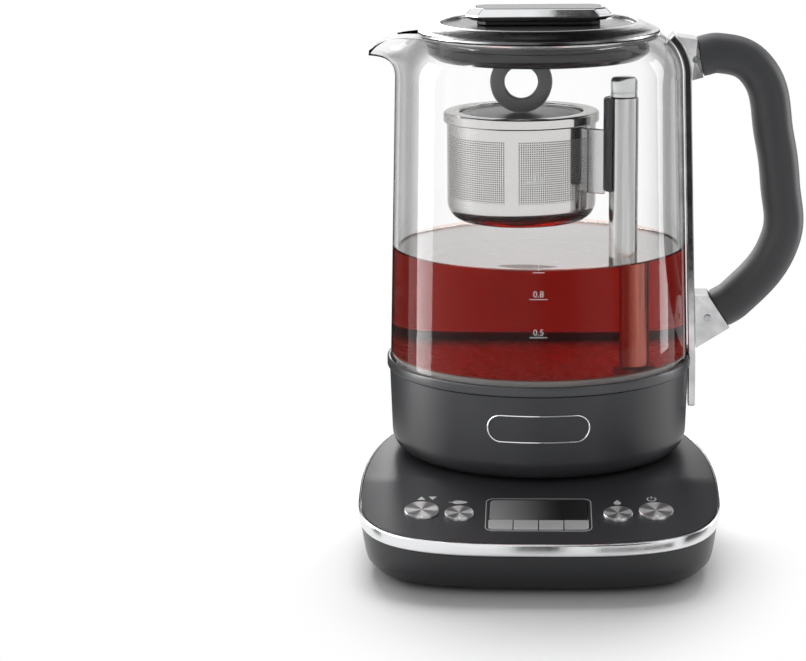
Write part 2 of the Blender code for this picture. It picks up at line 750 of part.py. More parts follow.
def make_lower_shell(parent, angles):
    """Lower shell: an open bowl under the band, with feet pockets, board posts and a cord hole."""
    rings = [base_ring(SHELL_TOP_OUTSET, BAND_HEIGHT + CLEARANCE, angles)]
    levels = (
        (SHELL_WAIST_INSET, SHELL_WAIST_HEIGHT),
        (SHELL_HIP_INSET, SHELL_HIP_HEIGHT),
        (SHELL_TOE_INSET, SHELL_TOE_HEIGHT),
        (SHELL_FLOOR_INSET, SHELL_UNDERSIDE),
    )
    for inset, height in levels:
        rings.append([(x, y, height) for x, y in base_outline(-inset, angles)])
    shell = loft("base_lower_shell", rings, graphite(), parent, capped=False)
    shape = bmesh.new()
    shape.from_mesh(shell.data)
    shape.verts.ensure_lookup_table()
    shape.faces.new(shape.verts[-len(angles):])
    bmesh.ops.recalc_face_normals(shape, faces=shape.faces)
    shape.to_mesh(shell.data)
    shape.free()
    wall = shell.modifiers.new("wall", "SOLIDIFY")
    wall.thickness = SHELL_WALL
    wall.offset = -1.0
    wall.use_even_offset = True

    for name, x, y in foot_places():
        pocket = rod(name + "_pocket", FOOT_RADIUS + CLEARANCE, -OVERRUN, SHELL_UNDERSIDE + FOOT_POCKET_DEPTH,
                     None, parent, (x, y, 0.0), MIDDLE_STEPS)
        combine(shell, pocket)
    for side in (-1, 1):
        where = (side * BOSS_SPREAD, BOSS_SETBACK, 0.0)
        combine(shell, rod(f"shell_screw_hole_{side}", SCREW_SHANK_RADIUS + CLEARANCE, -OVERRUN,
                           SHELL_FLOOR + OVERRUN, None, parent, where))
        combine(shell, rod(f"shell_screw_recess_{side}", SCREW_HEAD_RADIUS + CLEARANCE, -OVERRUN,
                           SHELL_UNDERSIDE + SHELL_WALL / 2, None, parent, where))
    for index, (x, y) in enumerate(standoff_places()):
        post = rod(f"board_standoff_{index}", STANDOFF_RADIUS, SHELL_FLOOR - SHELL_WALL / 2,
                   SHELL_FLOOR + STANDOFF_HEIGHT, None, parent, (x, y, 0.0))
        combine(shell, post, "UNION")
    cord_hole = rod("cord_hole", GLAND_RADIUS + CLEARANCE, -GLAND_REACH, GLAND_REACH, None, parent,
                    (0.0, gland_seat(), GLAND_HEIGHT))
    cord_hole.rotation_euler.x = math.radians(90)
    combine(shell, cord_hole)
    return shell


def foot_places():
    """Name and place of each foot."""
    return (
        ("foot_front_left", -FRONT_FOOT_SPREAD, -FRONT_FOOT_SETBACK),
        ("foot_front_right", FRONT_FOOT_SPREAD, -FRONT_FOOT_SETBACK),
        ("foot_rear_left", -REAR_FOOT_SPREAD, REAR_FOOT_SETBACK),
        ("foot_rear_right", REAR_FOOT_SPREAD, REAR_FOOT_SETBACK),
    )


def standoff_places():
    """Where the power board's posts stand."""
    across = POWER_BOARD_LENGTH / 2 - STANDOFF_MARGIN
    along = POWER_BOARD_WIDTH / 2 - STANDOFF_MARGIN
    return [(x, POWER_BOARD_SETBACK + y) for x in (-across, across) for y in (-along, along)]


def gland_seat():
    """How far back the lower shell's outer wall lies at the height of the cord gland."""
    top = plate_height(BASE_REAR) - BAND_HEIGHT - CLEARANCE
    share = (GLAND_HEIGHT - SHELL_WAIST_HEIGHT) / (top - SHELL_WAIST_HEIGHT)
    return BASE_REAR - SHELL_WAIST_INSET + (SHELL_TOP_OUTSET + SHELL_WAIST_INSET) * share


def make_feet(parent):
    """Four rubber feet, pressed into pockets of the lower shell."""
    top = SHELL_UNDERSIDE + FOOT_POCKET_DEPTH - CLEARANCE
    for name, x, y in foot_places():
        rod(name, FOOT_RADIUS, 0.0, top, silicone(), parent, (x, y, 0.0), MIDDLE_STEPS)


def screw_profile(low, length, head_radius, head_height):
    """Profile of a screw that points up from its head."""
    return [
        (0.0, low + length),
        (SCREW_SHANK_RADIUS, low + length),
        (SCREW_SHANK_RADIUS, low + head_height),
        (head_radius, low + head_height),
        (head_radius, low),
        (0.0, low),
    ]


def make_base_screws(parent):
    """Two screws that hold the top plate's bosses to the lower shell; the front of the plate hooks in."""
    head = SHELL_WALL / 2 - CLEARANCE
    profile = screw_profile(SHELL_UNDERSIDE, BASE_SCREW_LENGTH, SCREW_HEAD_RADIUS, head)
    for side, name in ((-1, "base_screw_left"), (1, "base_screw_right")):
        turned(name, profile, bright_steel(), parent, (side * BOSS_SPREAD, BOSS_SETBACK, 0.0), SMALL_STEPS)


def make_cord_gland(parent):
    """Bush in the back wall that the cord would leave through."""
    profile = [
        (GLAND_BORE_RADIUS, GLAND_STAND_OFF + GLAND_FLANGE_THICKNESS),
        (GLAND_FLANGE_RADIUS, GLAND_STAND_OFF + GLAND_FLANGE_THICKNESS),
        (GLAND_FLANGE_RADIUS, GLAND_STAND_OFF),
        (GLAND_RADIUS, GLAND_STAND_OFF),
        (GLAND_RADIUS, -GLAND_REACH),
        (GLAND_BORE_RADIUS, -GLAND_REACH),
    ]
    where = (0.0, gland_seat(), GLAND_HEIGHT)
    gland = turned("cord_gland", profile, black_plastic(), parent, where, SMALL_STEPS)
    gland.rotation_euler.x = math.radians(-90)
    return gland


def make_base_connector(parent):
    """Plug of the turning connector: a round turret with a ring groove and a middle bore."""
    flange_top = PLATE_UNDERSIDE - CLEARANCE
    profile = [
        (0.0, PLUG_TOP - PLUG_BORE_DEPTH),
        (PLUG_BORE_RADIUS, PLUG_TOP - PLUG_BORE_DEPTH),
        (PLUG_BORE_RADIUS, PLUG_TOP),
        (PLUG_GROOVE_INNER, PLUG_TOP),
        (PLUG_GROOVE_INNER, PLUG_TOP - PLUG_GROOVE_DEPTH),
        (PLUG_GROOVE_OUTER, PLUG_TOP - PLUG_GROOVE_DEPTH),
        (PLUG_GROOVE_OUTER, PLUG_TOP),
        (PLUG_RADIUS - PLUG_EDGE, PLUG_TOP),
        (PLUG_RADIUS, PLUG_TOP - PLUG_EDGE),
        (PLUG_RADIUS, flange_top),
        (PLUG_FLANGE_RADIUS, flange_top),
        (PLUG_FLANGE_RADIUS, flange_top - PLUG_FLANGE_THICKNESS),
        (PLUG_BODY_RADIUS, flange_top - PLUG_FLANGE_THICKNESS),
        (PLUG_BODY_RADIUS, PLUG_BODY_LOW),
        (0.0, PLUG_BODY_LOW),
    ]
    return turned("base_connector", profile, black_plastic(), parent, steps=MIDDLE_STEPS)


def make_power_board(parent):
    """Power board on its posts, with the relay that switches the heater."""
    low = SHELL_FLOOR + STANDOFF_HEIGHT + CLEARANCE
    board = block("power_board", (POWER_BOARD_LENGTH, POWER_BOARD_WIDTH, BOARD_THICKNESS), board_green(),
                  parent, (0.0, POWER_BOARD_SETBACK, low + BOARD_THICKNESS / 2))
    relay = block("power_relay", (RELAY_LENGTH, RELAY_WIDTH, RELAY_HEIGHT + BOARD_THICKNESS), None, parent,
                  (0.0, POWER_BOARD_SETBACK, low + (BOARD_THICKNESS + RELAY_HEIGHT) / 2))
    combine(board, relay, "UNION")


def round_buttons():
    """Name, place on the panel and radius of each round button."""
    return (
        ("button_lift", -BIG_BUTTON_SPREAD, 0.0, BIG_BUTTON_RADIUS),
        ("button_tea", -SMALL_BUTTON_SPREAD, -SMALL_BUTTON_DROP, SMALL_BUTTON_RADIUS),
        ("button_water", SMALL_BUTTON_SPREAD, -SMALL_BUTTON_DROP, SMALL_BUTTON_RADIUS),
        ("button_power", BIG_BUTTON_SPREAD, 0.0, BIG_BUTTON_RADIUS),
    )


def make_round_buttons(panel):
    """Round buttons with a flange under the plate and a stem over their switch."""
    flange_low = BUTTON_LOW - BUTTON_FLANGE_THICKNESS
    stem_low = flange_low - BUTTON_STEM_LENGTH
    for name, across, along, radius in round_buttons():
        profile = [
            (0.0, BUTTON_RISE),
            (radius - BUTTON_EDGE, BUTTON_RISE),
            (radius, BUTTON_RISE - BUTTON_EDGE),
            (radius, BUTTON_LOW),
            (radius + BUTTON_FLANGE, BUTTON_LOW),
            (radius + BUTTON_FLANGE, flange_low),
            (BUTTON_STEM_RADIUS, flange_low),
            (BUTTON_STEM_RADIUS, stem_low),
            (0.0, stem_low),
        ]
        turned(name, profile, brushed_steel(), panel, (across, along, 0.0), MIDDLE_STEPS)


def key_line():
    """Place of the row of keys on the panel, just below the window."""
    return WINDOW_LOW - CLEARANCE - KEY_GAP - CLEARANCE - KEY_LENGTH / 2 - CLEARANCE


def key_places():
    """Where the four keys lie across the panel."""
    pitch = KEY_WIDTH + KEY_GAP
    return [(index - (KEY_COUNT - 1) / 2) * pitch for index in range(KEY_COUNT)]


def make_keys(panel):
    """Row of keys under the window; the end keys have a round outer corner."""
    low = BUTTON_LOW - BUTTON_FLANGE_THICKNESS
    stem_low = low - BUTTON_STEM_LENGTH
    half = KEY_WIDTH / 2
    length = KEY_LENGTH / 2
    for index, across in enumerate(key_places()):
        outline = [(half, length), (-half, length), (-half, -length), (half, -length)]
        if index == 0:
            outline[2:3] = arc((KEY_CORNER - half, KEY_CORNER - length), KEY_CORNER, 180, 270, 4)
        if index == KEY_COUNT - 1:
            outline[3:4] = arc((half - KEY_CORNER, KEY_CORNER - length), KEY_CORNER, 270, 360, 4)
        where = (across, key_line(), 0.0)
        key = flat(f"panel_key_{index + 1}", outline, BUTTON_LOW - BUTTON_FLANGE_THICKNESS / 2, KEY_RISE,
                   brushed_steel(), panel, where)
        lip_size = (KEY_WIDTH - KEY_CORNER, KEY_LENGTH + KEY_LIP * 2, BUTTON_FLANGE_THICKNESS)
        lip = block(f"key_lip_{index}", lip_size, None, panel,
                    (across, key_line(), BUTTON_LOW - BUTTON_FLANGE_THICKNESS / 2))
        combine(key, lip, "UNION")
        stem = rod(f"key_stem_{index}", BUTTON_STEM_RADIUS, stem_low, low + BUTTON_FLANGE_THICKNESS / 2, None,
                   panel, where)
        combine(key, stem, "UNION")


def window_solid(name, outset, low, high, material, panel):
    """The display window's outline as a solid, grown by an outset."""
    half = WINDOW_HALF_LENGTH + outset
    outline = rounded_rectangle(-half, half, WINDOW_LOW - outset, WINDOW_TOP + outset, WINDOW_CORNER)
    return flat(name, outline, low, high, material, panel)


def make_display(panel):
    """Display window flush in the panel, and the display module between it and the board."""
    window_solid("display_window", 0.0, -WINDOW_THICKNESS, 0.0, black_plastic(), panel)
    low = PANEL_BOARD_TOP + CLEARANCE
    high = -WINDOW_THICKNESS - CLEARANCE
    length = WINDOW_HALF_LENGTH * 2 - WINDOW_CORNER
    width = WINDOW_TOP - WINDOW_LOW - KEY_LIP * 2 - CLEARANCE
    where = (0.0, (WINDOW_TOP + WINDOW_LOW) / 2, (high + low) / 2)
    block("display_module", (length, width, high - low), black_plastic(), panel, where)


def make_control_board(panel):
    """Control board under the panel with a switch below each button and key."""
    corner = PANEL_BOARD_CORNER
    half = PANEL_BOARD_HALF_LENGTH
    front = -PANEL_BOARD_FRONT
    right_side = [(half, PANEL_BOARD_REAR), (half, front + corner), (half - corner, front)]
    outline = right_side + [(-x, y) for x, y in reversed(right_side)]
    board = flat("control_board", outline, PANEL_BOARD_TOP - BOARD_THICKNESS, PANEL_BOARD_TOP, board_green(),
                 panel)
    places = [(across, along) for name, across, along, radius in round_buttons()]
    places += [(across, key_line()) for across in key_places()]
    low = PANEL_BOARD_TOP - BOARD_THICKNESS / 2
    for index, (x, y) in enumerate(places):
        switch = block(f"switch_{index}", (SWITCH_SIDE, SWITCH_SIDE, SWITCH_TOP - low), None, panel,
                       (x, y, (SWITCH_TOP + low) / 2))
        combine(board, switch, "UNION")


def make_housing(parent, strap_channel):
    """Jug housing: a bowl with a shelf inside that carries the bottom cover."""
    shelf_low = COVER_TOP + CLEARANCE
    shelf_top = shelf_low + SHELF_THICKNESS
    opening = COVER_RADIUS + CLEARANCE
    corner_centre = (HOUSING_LOW_RADIUS - HOUSING_CORNER, JUG_BOTTOM + HOUSING_CORNER)
    profile = [(HOUSING_RADIUS, HOUSING_TOP)]
    profile += arc(corner_centre, HOUSING_CORNER, 0, -90, 5)
    profile += [
        (opening, JUG_BOTTOM),
        (opening, shelf_low),
        (opening - SHELF_WIDTH, shelf_low),
        (opening - SHELF_WIDTH, shelf_top),
        (corner_centre[0], shelf_top),
    ]
    profile += arc(corner_centre, HOUSING_CORNER - HOUSING_WALL, -30, 0, 2)
    profile += [(HOUSING_RADIUS - HOUSING_WALL, HOUSING_TOP)]
    housing = turned("jug_housing", profile, graphite(), parent)
    combine(housing, strap_channel)
    for index, (x, y) in enumerate(cover_screw_places()):
        hole = rod(f"shelf_hole_{index}", SCREW_SHANK_RADIUS + CLEARANCE, COVER_TOP - OVERRUN,
                   shelf_top + OVERRUN, None, parent, (x, y, 0.0))
        combine(housing, hole)
    return housing


def cover_screw_places():
    """Where the screws of the jug's bottom cover stand."""
    reach = COVER_RADIUS - SCREW_HEAD_RADIUS - COVER_SCREW_MARGIN / 2
    places = []
    for index in range(COVER_SCREW_COUNT):
        angle = COVER_SCREW_TURN + math.tau * index / COVER_SCREW_COUNT
        places.append((reach * math.cos(angle), reach * math.sin(angle)))
    return places


def make_bottom_cover(parent):
    """Cover that closes the housing from below, round the connector's socket, and its screws."""
    low = JUG_BOTTOM + CLEARANCE
    outline = arc((0.0, 0.0), COVER_RADIUS, 0, 360, WIDE_STEPS)[:-1]
    rings = [[(x, y, height) for x, y in outline] for height in (low, COVER_TOP)]
    cover = loft("jug_bottom_cover", rings, graphite(), parent)
    combine(cover, rod("cover_bore", SOCKET_FLANGE_RADIUS + CLEARANCE, low - OVERRUN, COVER_TOP + OVERRUN,
                       None, parent, steps=MIDDLE_STEPS))
    head_height = COVER_THICKNESS / 2
    screw_low = low + CLEARANCE
    screw_length = COVER_TOP + SHELF_THICKNESS - screw_low
    for index, (x, y) in enumerate(cover_screw_places()):
        combine(cover, rod(f"cover_hole_{index}", SCREW_SHANK_RADIUS + CLEARANCE, low - OVERRUN,
                           COVER_TOP + OVERRUN, None, parent, (x, y, 0.0)))
        combine(cover, rod(f"cover_recess_{index}", SCREW_HEAD_RADIUS + CLEARANCE, low - OVERRUN,
                           screw_low + head_height + CLEARANCE, None, parent, (x, y, 0.0)))
        profile = screw_profile(screw_low, screw_length, SCREW_HEAD_RADIUS, head_height)
        turned(f"jug_bottom_screw_{index + 1}", profile, bright_steel(), parent, (x, y, 0.0), SMALL_STEPS)


def make_rim_ring(parent, strap_channel):
    """Ring that clamps the glass, with the ledge that the heating floor lies on."""
    inner = GLASS_RADIUS + CLEARANCE
    profile = [
        (inner, RIM_TOP),
        (RIM_RADIUS - RIM_ROUNDING, RIM_TOP),
        (RIM_RADIUS, RIM_TOP - RIM_ROUNDING),
        (RIM_RADIUS, RIM_LOW + RIM_ROUNDING),
        (RIM_RADIUS - RIM_ROUNDING, RIM_LOW),
        (RIM_LEDGE_RADIUS, RIM_LOW),
        (RIM_LEDGE_RADIUS, RIM_LEDGE_TOP),
        (inner, RIM_LEDGE_TOP),
    ]
    ring = turned("housing_rim_ring", profile, finish("light_graphite", (0.16, 0.165, 0.175), 0.35), parent)
    combine(ring, strap_channel)
    return ring


def make_jug_connector(parent):
    """Socket of the turning connector, shaped to go over the plug."""
    low = JUG_BOTTOM + CLEARANCE
    ceiling = PLUG_TOP + CLEARANCE * 2
    bore = PLUG_RADIUS + CLEARANCE * 2
    ring_inner = PLUG_GROOVE_INNER + CLEARANCE * 2
    ring_outer = PLUG_GROOVE_OUTER - CLEARANCE * 2
    flange_top = low + SOCKET_FLANGE_THICKNESS
    profile = [
        (0.0, SOCKET_BODY_TOP),
        (SOCKET_BODY_RADIUS, SOCKET_BODY_TOP),
        (SOCKET_BODY_RADIUS, flange_top),
        (SOCKET_FLANGE_RADIUS, flange_top),
        (SOCKET_FLANGE_RADIUS, low),
        (bore, low),
        (bore, ceiling),
        (ring_outer, ceiling),
        (ring_outer, ceiling - SOCKET_RING_LENGTH),
        (ring_inner, ceiling - SOCKET_RING_LENGTH),
        (ring_inner, ceiling),
        (SOCKET_PIN_RADIUS, ceiling),
        (SOCKET_PIN_RADIUS, ceiling - SOCKET_PIN_LENGTH),
        (0.0, ceiling - SOCKET_PIN_LENGTH),
    ]
    return turned("jug_connector", profile, black_plastic(), parent, steps=MIDDLE_STEPS)


def make_heating_floor(parent):
    """Steel floor of the jug, its seal against the glass, the element and the sensor below it."""
    floor = rod("heating_plate", HEATER_RADIUS, HEATER_LOW, HEATER_TOP, brushed_steel(), parent,
                steps=WIDE_STEPS)
    hole = rod("post_hole", POST_RADIUS + CLEARANCE, HEATER_LOW - OVERRUN, HEATER_TOP + OVERRUN, None, parent,
               (POST_X, POST_Y, 0.0), MIDDLE_STEPS)
    combine(floor, hole)
    seal_top = HEATER_LOW + SEAL_HEIGHT
    profile = [
        (SEAL_INNER, seal_top),
        (GLASS_INNER - CLEARANCE * 2, seal_top),
        (GLASS_INNER - CLEARANCE * 2, HEATER_LOW + SEAL_THICKNESS),
        (GLASS_RADIUS - CLEARANCE, HEATER_LOW + SEAL_THICKNESS),
        (GLASS_RADIUS - CLEARANCE, HEATER_LOW),
        (SEAL_INNER, HEATER_LOW),
    ]
    turned("glass_seal", profile, silicone(), parent)

    height = HEATER_LOW - CLEARANCE - ELEMENT_TUBE_RADIUS
    sweep = math.tau - ELEMENT_GAP * 2
    loop = []
    for step in range(ELEMENT_STEPS + 1):
        angle = math.pi + ELEMENT_GAP + sweep * step / ELEMENT_STEPS
        loop.append((ELEMENT_RING_RADIUS * math.cos(angle), ELEMENT_RING_RADIUS * math.sin(angle), height))
    wire("heating_element", loop, ELEMENT_TUBE_RADIUS, brushed_steel(), parent)
    rod("temperature_sensor", SENSOR_RADIUS, HEATER_LOW - CLEARANCE - SENSOR_HEIGHT, HEATER_LOW - CLEARANCE,
        black_plastic(), parent, (-SENSOR_REACH, 0.0, 0.0))


def shoulder_point(share, grown=0.0):
    """Radius and height of the glass's shoulder, and of a line that runs outside it."""
    angle = SHOULDER_ANGLE * share
    radius = SHOULDER_CENTRE + SHOULDER_DEPTH * math.cos(angle)
    height = SHOULDER_HEIGHT + SHOULDER_RISE * math.sin(angle)
    normal = Vector((math.cos(angle) / SHOULDER_DEPTH, math.sin(angle) / SHOULDER_RISE)).normalized()
    return radius + normal.x * grown, height + normal.y * grown


def glass_angles():
    """Angles round the glass, closer together where the spout is pulled out at -X."""
    step = math.tau / WIDE_STEPS
    angles = []
    for index in range(WIDE_STEPS):
        angles.append(index * step)
        if abs(index + 0.5 - WIDE_STEPS / 2) < SPOUT_FINE_STEPS:
            angles.append((index + 0.5) * step)
    return angles


def make_glass(parent):
    """Glass body: a tapered wall and a shoulder, pulled out into the spout on one side."""
    angles = glass_angles()
    rings = []
    for step in range(GLASS_WALL_STEPS):
        share = step / GLASS_WALL_STEPS
        radius = GLASS_RADIUS + (GLASS_NECK_RADIUS - GLASS_RADIUS) * share
        height = GLASS_LOW + (SHOULDER_HEIGHT - GLASS_LOW) * share
        rings.append([(radius * math.cos(angle), radius * math.sin(angle), height) for angle in angles])
    for step, (out_share, up_share) in zip(range(SHOULDER_STEPS + 1), SPOUT_PATH_SHARES):
        radius, height = shoulder_point(step / SHOULDER_STEPS)
        spout_radius = GLASS_NECK_RADIUS + SPOUT_LENGTH * out_share
        spout_height = SHOULDER_HEIGHT + SPOUT_RISE * up_share
        ring = []
        for angle in angles:
            pull = math.exp(-((angle - math.pi) / SPOUT_SPREAD) ** 2)
            reach = radius + (spout_radius - radius) * pull
            level = height + (spout_height - height) * pull ** SPOUT_DROP_POWER
            ring.append((reach * math.cos(angle), reach * math.sin(angle), level))
        rings.append(ring)
    glass = loft("glass_body", rings, clear_glass(), parent, capped=False)
    wall = glass.modifiers.new("wall", "SOLIDIFY")
    wall.thickness = GLASS_WALL
    wall.offset = -1.0
    return glass


def strap_path(grown):
    """Side view of the strap's inner face, kept off the glass: foot first, then over the shoulder."""
    path = [(GLASS_RADIUS + grown, STRAP_FOOT), (GLASS_RADIUS + grown, GLASS_LOW)]
    path.append((GLASS_NECK_RADIUS + grown, SHOULDER_HEIGHT))
    last = STRAP_END_ANGLE / SHOULDER_ANGLE
    for step in range(1, SHOULDER_STEPS):
        path.append(shoulder_point(last * step / (SHOULDER_STEPS - 1), grown))
    return path


def strap_solid(name, inner, outer, width, material, parent, foot_drop=0.0):
    """The strap as a bar between two side lines."""
    inside = strap_path(inner)
    outside = strap_path(outer)
    rings = []
    for (near, low), (far, high) in zip(inside, outside):
        drop = foot_drop if low == STRAP_FOOT else 0.0
        half = width / 2
        rings.append([(near, -half, low - drop), (far, -half, high - drop), (far, half, high - drop),
                      (near, half, low - drop)])
    return loft(name, rings, material, parent)


def make_handle(parent):
    """Steel strap that runs up the glass and over its shoulder, and the grip."""
    strap_outer = CLEARANCE + STRAP_THICKNESS
    strap = strap_solid("handle_strap", CLEARANCE, strap_outer, STRAP_WIDTH, bright_steel(), parent)
    soften(strap, CLEARANCE * 2, 1)
    return place(grip_curve("handle_grip", 0.0), graphite(), parent)


def make_brackets(parent):
    """Steel brackets that fill the gap from the strap to each end of the grip, with their pins."""
    ends = (
        ("upper", GLASS_NECK_RADIUS, UPPER_BRACKET_LAP, UPPER_BRACKET_HEIGHT, UPPER_BRACKET_SPAN),
        ("lower", GLASS_RADIUS, 0.0, LOWER_BRACKET_HEIGHT, LOWER_BRACKET_SPAN),
    )
    grip_cutter = grip_space(parent)
    for name, wall, lap, seat_height, span in ends:
        reach, height, slope = grip_end(name)
        lean_x = math.sin(slope) * BRACKET_DEPTH / 2
        lean_z = math.cos(slope) * BRACKET_DEPTH / 2
        low_start = (wall - lap, seat_height - span / 2, STRAP_WIDTH / 2)
        high_start = (wall - lap, seat_height + span / 2, STRAP_WIDTH / 2)
        low_end = (reach + lean_x, height - lean_z, BRACKET_WIDTH / 2)
        high_end = (reach - lean_x, height + lean_z, BRACKET_WIDTH / 2)
        rings = []
        for low, high in ((low_start, high_start), (low_end, high_end)):
            rings.append([(x, side * half, z) for (x, z, half), side in
                          ((low, -1), (low, 1), (high, 1), (high, -1))])
        bracket = loft(f"{name}_bracket", rings, bright_steel(), parent)
        clear_outer = CLEARANCE + STRAP_THICKNESS + CLEARANCE
        combine(bracket, strap_solid(f"{name}_strap_space", -GLASS_WALL * 4, clear_outer,
                                     BRACKET_WIDTH + OVERRUN * 2, None, parent, OVERRUN))
        combine(bracket, grip_cutter)
        if name == "upper":
            combine(bracket, lid_space(parent))
        make_bracket_pin(name, bracket, parent, (wall + clear_outer + reach) / 2 + BRACKET_PIN_SHIFT,
                         (seat_height + height) / 2)


def make_bracket_pin(name, bracket, parent, x, z):
    """Pin through a bracket, with its head on the front."""
    head_low = BRACKET_WIDTH / 2 + CLEARANCE
    profile = [
        (0.0, head_low + BRACKET_PIN_HEAD),
        (BRACKET_PIN_HEAD_RADIUS, head_low + BRACKET_PIN_HEAD),
        (BRACKET_PIN_HEAD_RADIUS, head_low),
        (BRACKET_PIN_RADIUS, head_low),
        (BRACKET_PIN_RADIUS, -BRACKET_WIDTH / 2),
        (0.0, -BRACKET_WIDTH / 2),
    ]
    pin = turned(f"{name}_bracket_pin", profile, bright_steel(), parent, (x, 0.0, z), SMALL_STEPS)
    pin.rotation_euler.x = math.radians(90)
    hole = rod(f"{name}_pin_hole", BRACKET_PIN_RADIUS + CLEARANCE, -BRACKET_WIDTH, BRACKET_WIDTH, None,
               parent, (x, 0.0, z))
    hole.rotation_euler.x = math.radians(90)
    combine(bracket, hole)


def grip_places():
    """Points that the grip's centre line goes through, from its upper end to its lower end."""
    places = []
    for out_share, up_share in GRIP_PATH_SHARES:
        x = GRIP_TOP_REACH + (GRIP_REACH - GRIP_TOP_REACH) * out_share
        places.append((x, GRIP_FOOT_HEIGHT + (GRIP_TOP_HEIGHT - GRIP_FOOT_HEIGHT) * up_share))
    return places


def grip_end(name):
    """Reach, height and upward slope of one end of the grip."""
    places = grip_places()
    (x, z), (next_x, next_z) = places[:2] if name == "upper" else places[:-3:-1]
    return x, z, math.atan2(next_z - z, next_x - x)


def grip_curve(name, grown):
    """The grip's centre line with its section round it, grown by a clearance, as a mesh."""
    section = bpy.data.curves.new(name + "_section", "CURVE")
    section.dimensions = "2D"
    loop = section.splines.new("POLY")
    loop.points.add(GRIP_SECTION_POINTS - 1)
    for index, point in enumerate(loop.points):
        angle = math.tau * index / GRIP_SECTION_POINTS
        wide = math.copysign(abs(math.cos(angle)) ** GRIP_SECTION_POWER, math.cos(angle))
        deep = math.copysign(abs(math.sin(angle)) ** GRIP_SECTION_POWER, math.sin(angle))
        point.co = (wide * (GRIP_WIDTH / 2 + grown), deep * (GRIP_DEPTH / 2 + grown), 0.0, 1.0)
    loop.use_cyclic_u = True
    section_guide = bpy.data.objects.new(name + "_section", section)
    bpy.context.scene.collection.objects.link(section_guide)

    curve = bpy.data.curves.new(name, "CURVE")
    curve.dimensions = "3D"
    curve.resolution_u = GRIP_RESOLUTION
    curve.bevel_mode = "OBJECT"
    curve.bevel_object = section_guide
    curve.use_fill_caps = True
    spline = curve.splines.new("BEZIER")
    spline.bezier_points.add(len(GRIP_PATH_SHARES) - 1)
    for point, (x, z) in zip(spline.bezier_points, grip_places()):
        point.co = (x, 0.0, z)
        point.handle_left_type = "AUTO"
        point.handle_right_type = "AUTO"
    item = mesh_from_curve(bpy.data.objects.new(name, curve), name)
    bpy.data.objects.remove(section_guide, do_unlink=True)
    return item


def grip_space(parent):
    """The grip's own space with a clearance round it and past its ends, to trim the brackets by."""
    space = place(grip_curve("grip_space", CLEARANCE), None, parent)
    for name in ("upper", "lower"):
        reach, height, slope = grip_end(name)
        cap = block(f"grip_end_space_{name}", (CLEARANCE * 3, GRIP_WIDTH, GRIP_DEPTH), None, parent,
                    (reach, 0.0, height))
        cap.rotation_euler.y = -slope
        combine(space, cap, "UNION")
    return space


def make_badge(parent):
    """Empty badge outline: a thin ring bent round the front of the housing."""
    outline = []
    straight = BADGE_HALF_LENGTH - BADGE_HALF_HEIGHT
    for side, start in ((1, -90), (-1, 90)):
        outline += arc((side * straight, 0.0), BADGE_HALF_HEIGHT, start, start + 180, BADGE_END_STEPS)
        for step in range(1, BADGE_SIDE_STEPS):
            outline.append((side * straight * (1 - 2 * step / BADGE_SIDE_STEPS), side * BADGE_HALF_HEIGHT))
    points = []
    for along, up in outline:
        height = BADGE_HEIGHT + up
        share = (height - JUG_BOTTOM - HOUSING_CORNER) / (HOUSING_TOP - JUG_BOTTOM - HOUSING_CORNER)
        radius = HOUSING_LOW_RADIUS + (HOUSING_RADIUS - HOUSING_LOW_RADIUS) * share + CLEARANCE + BADGE_WIRE
        angle = along / radius - math.pi / 2
        points.append((radius * math.cos(angle), radius * math.sin(angle), height))
    return wire("badge_ring", points, BADGE_WIRE, bright_steel(), parent, closed=True)


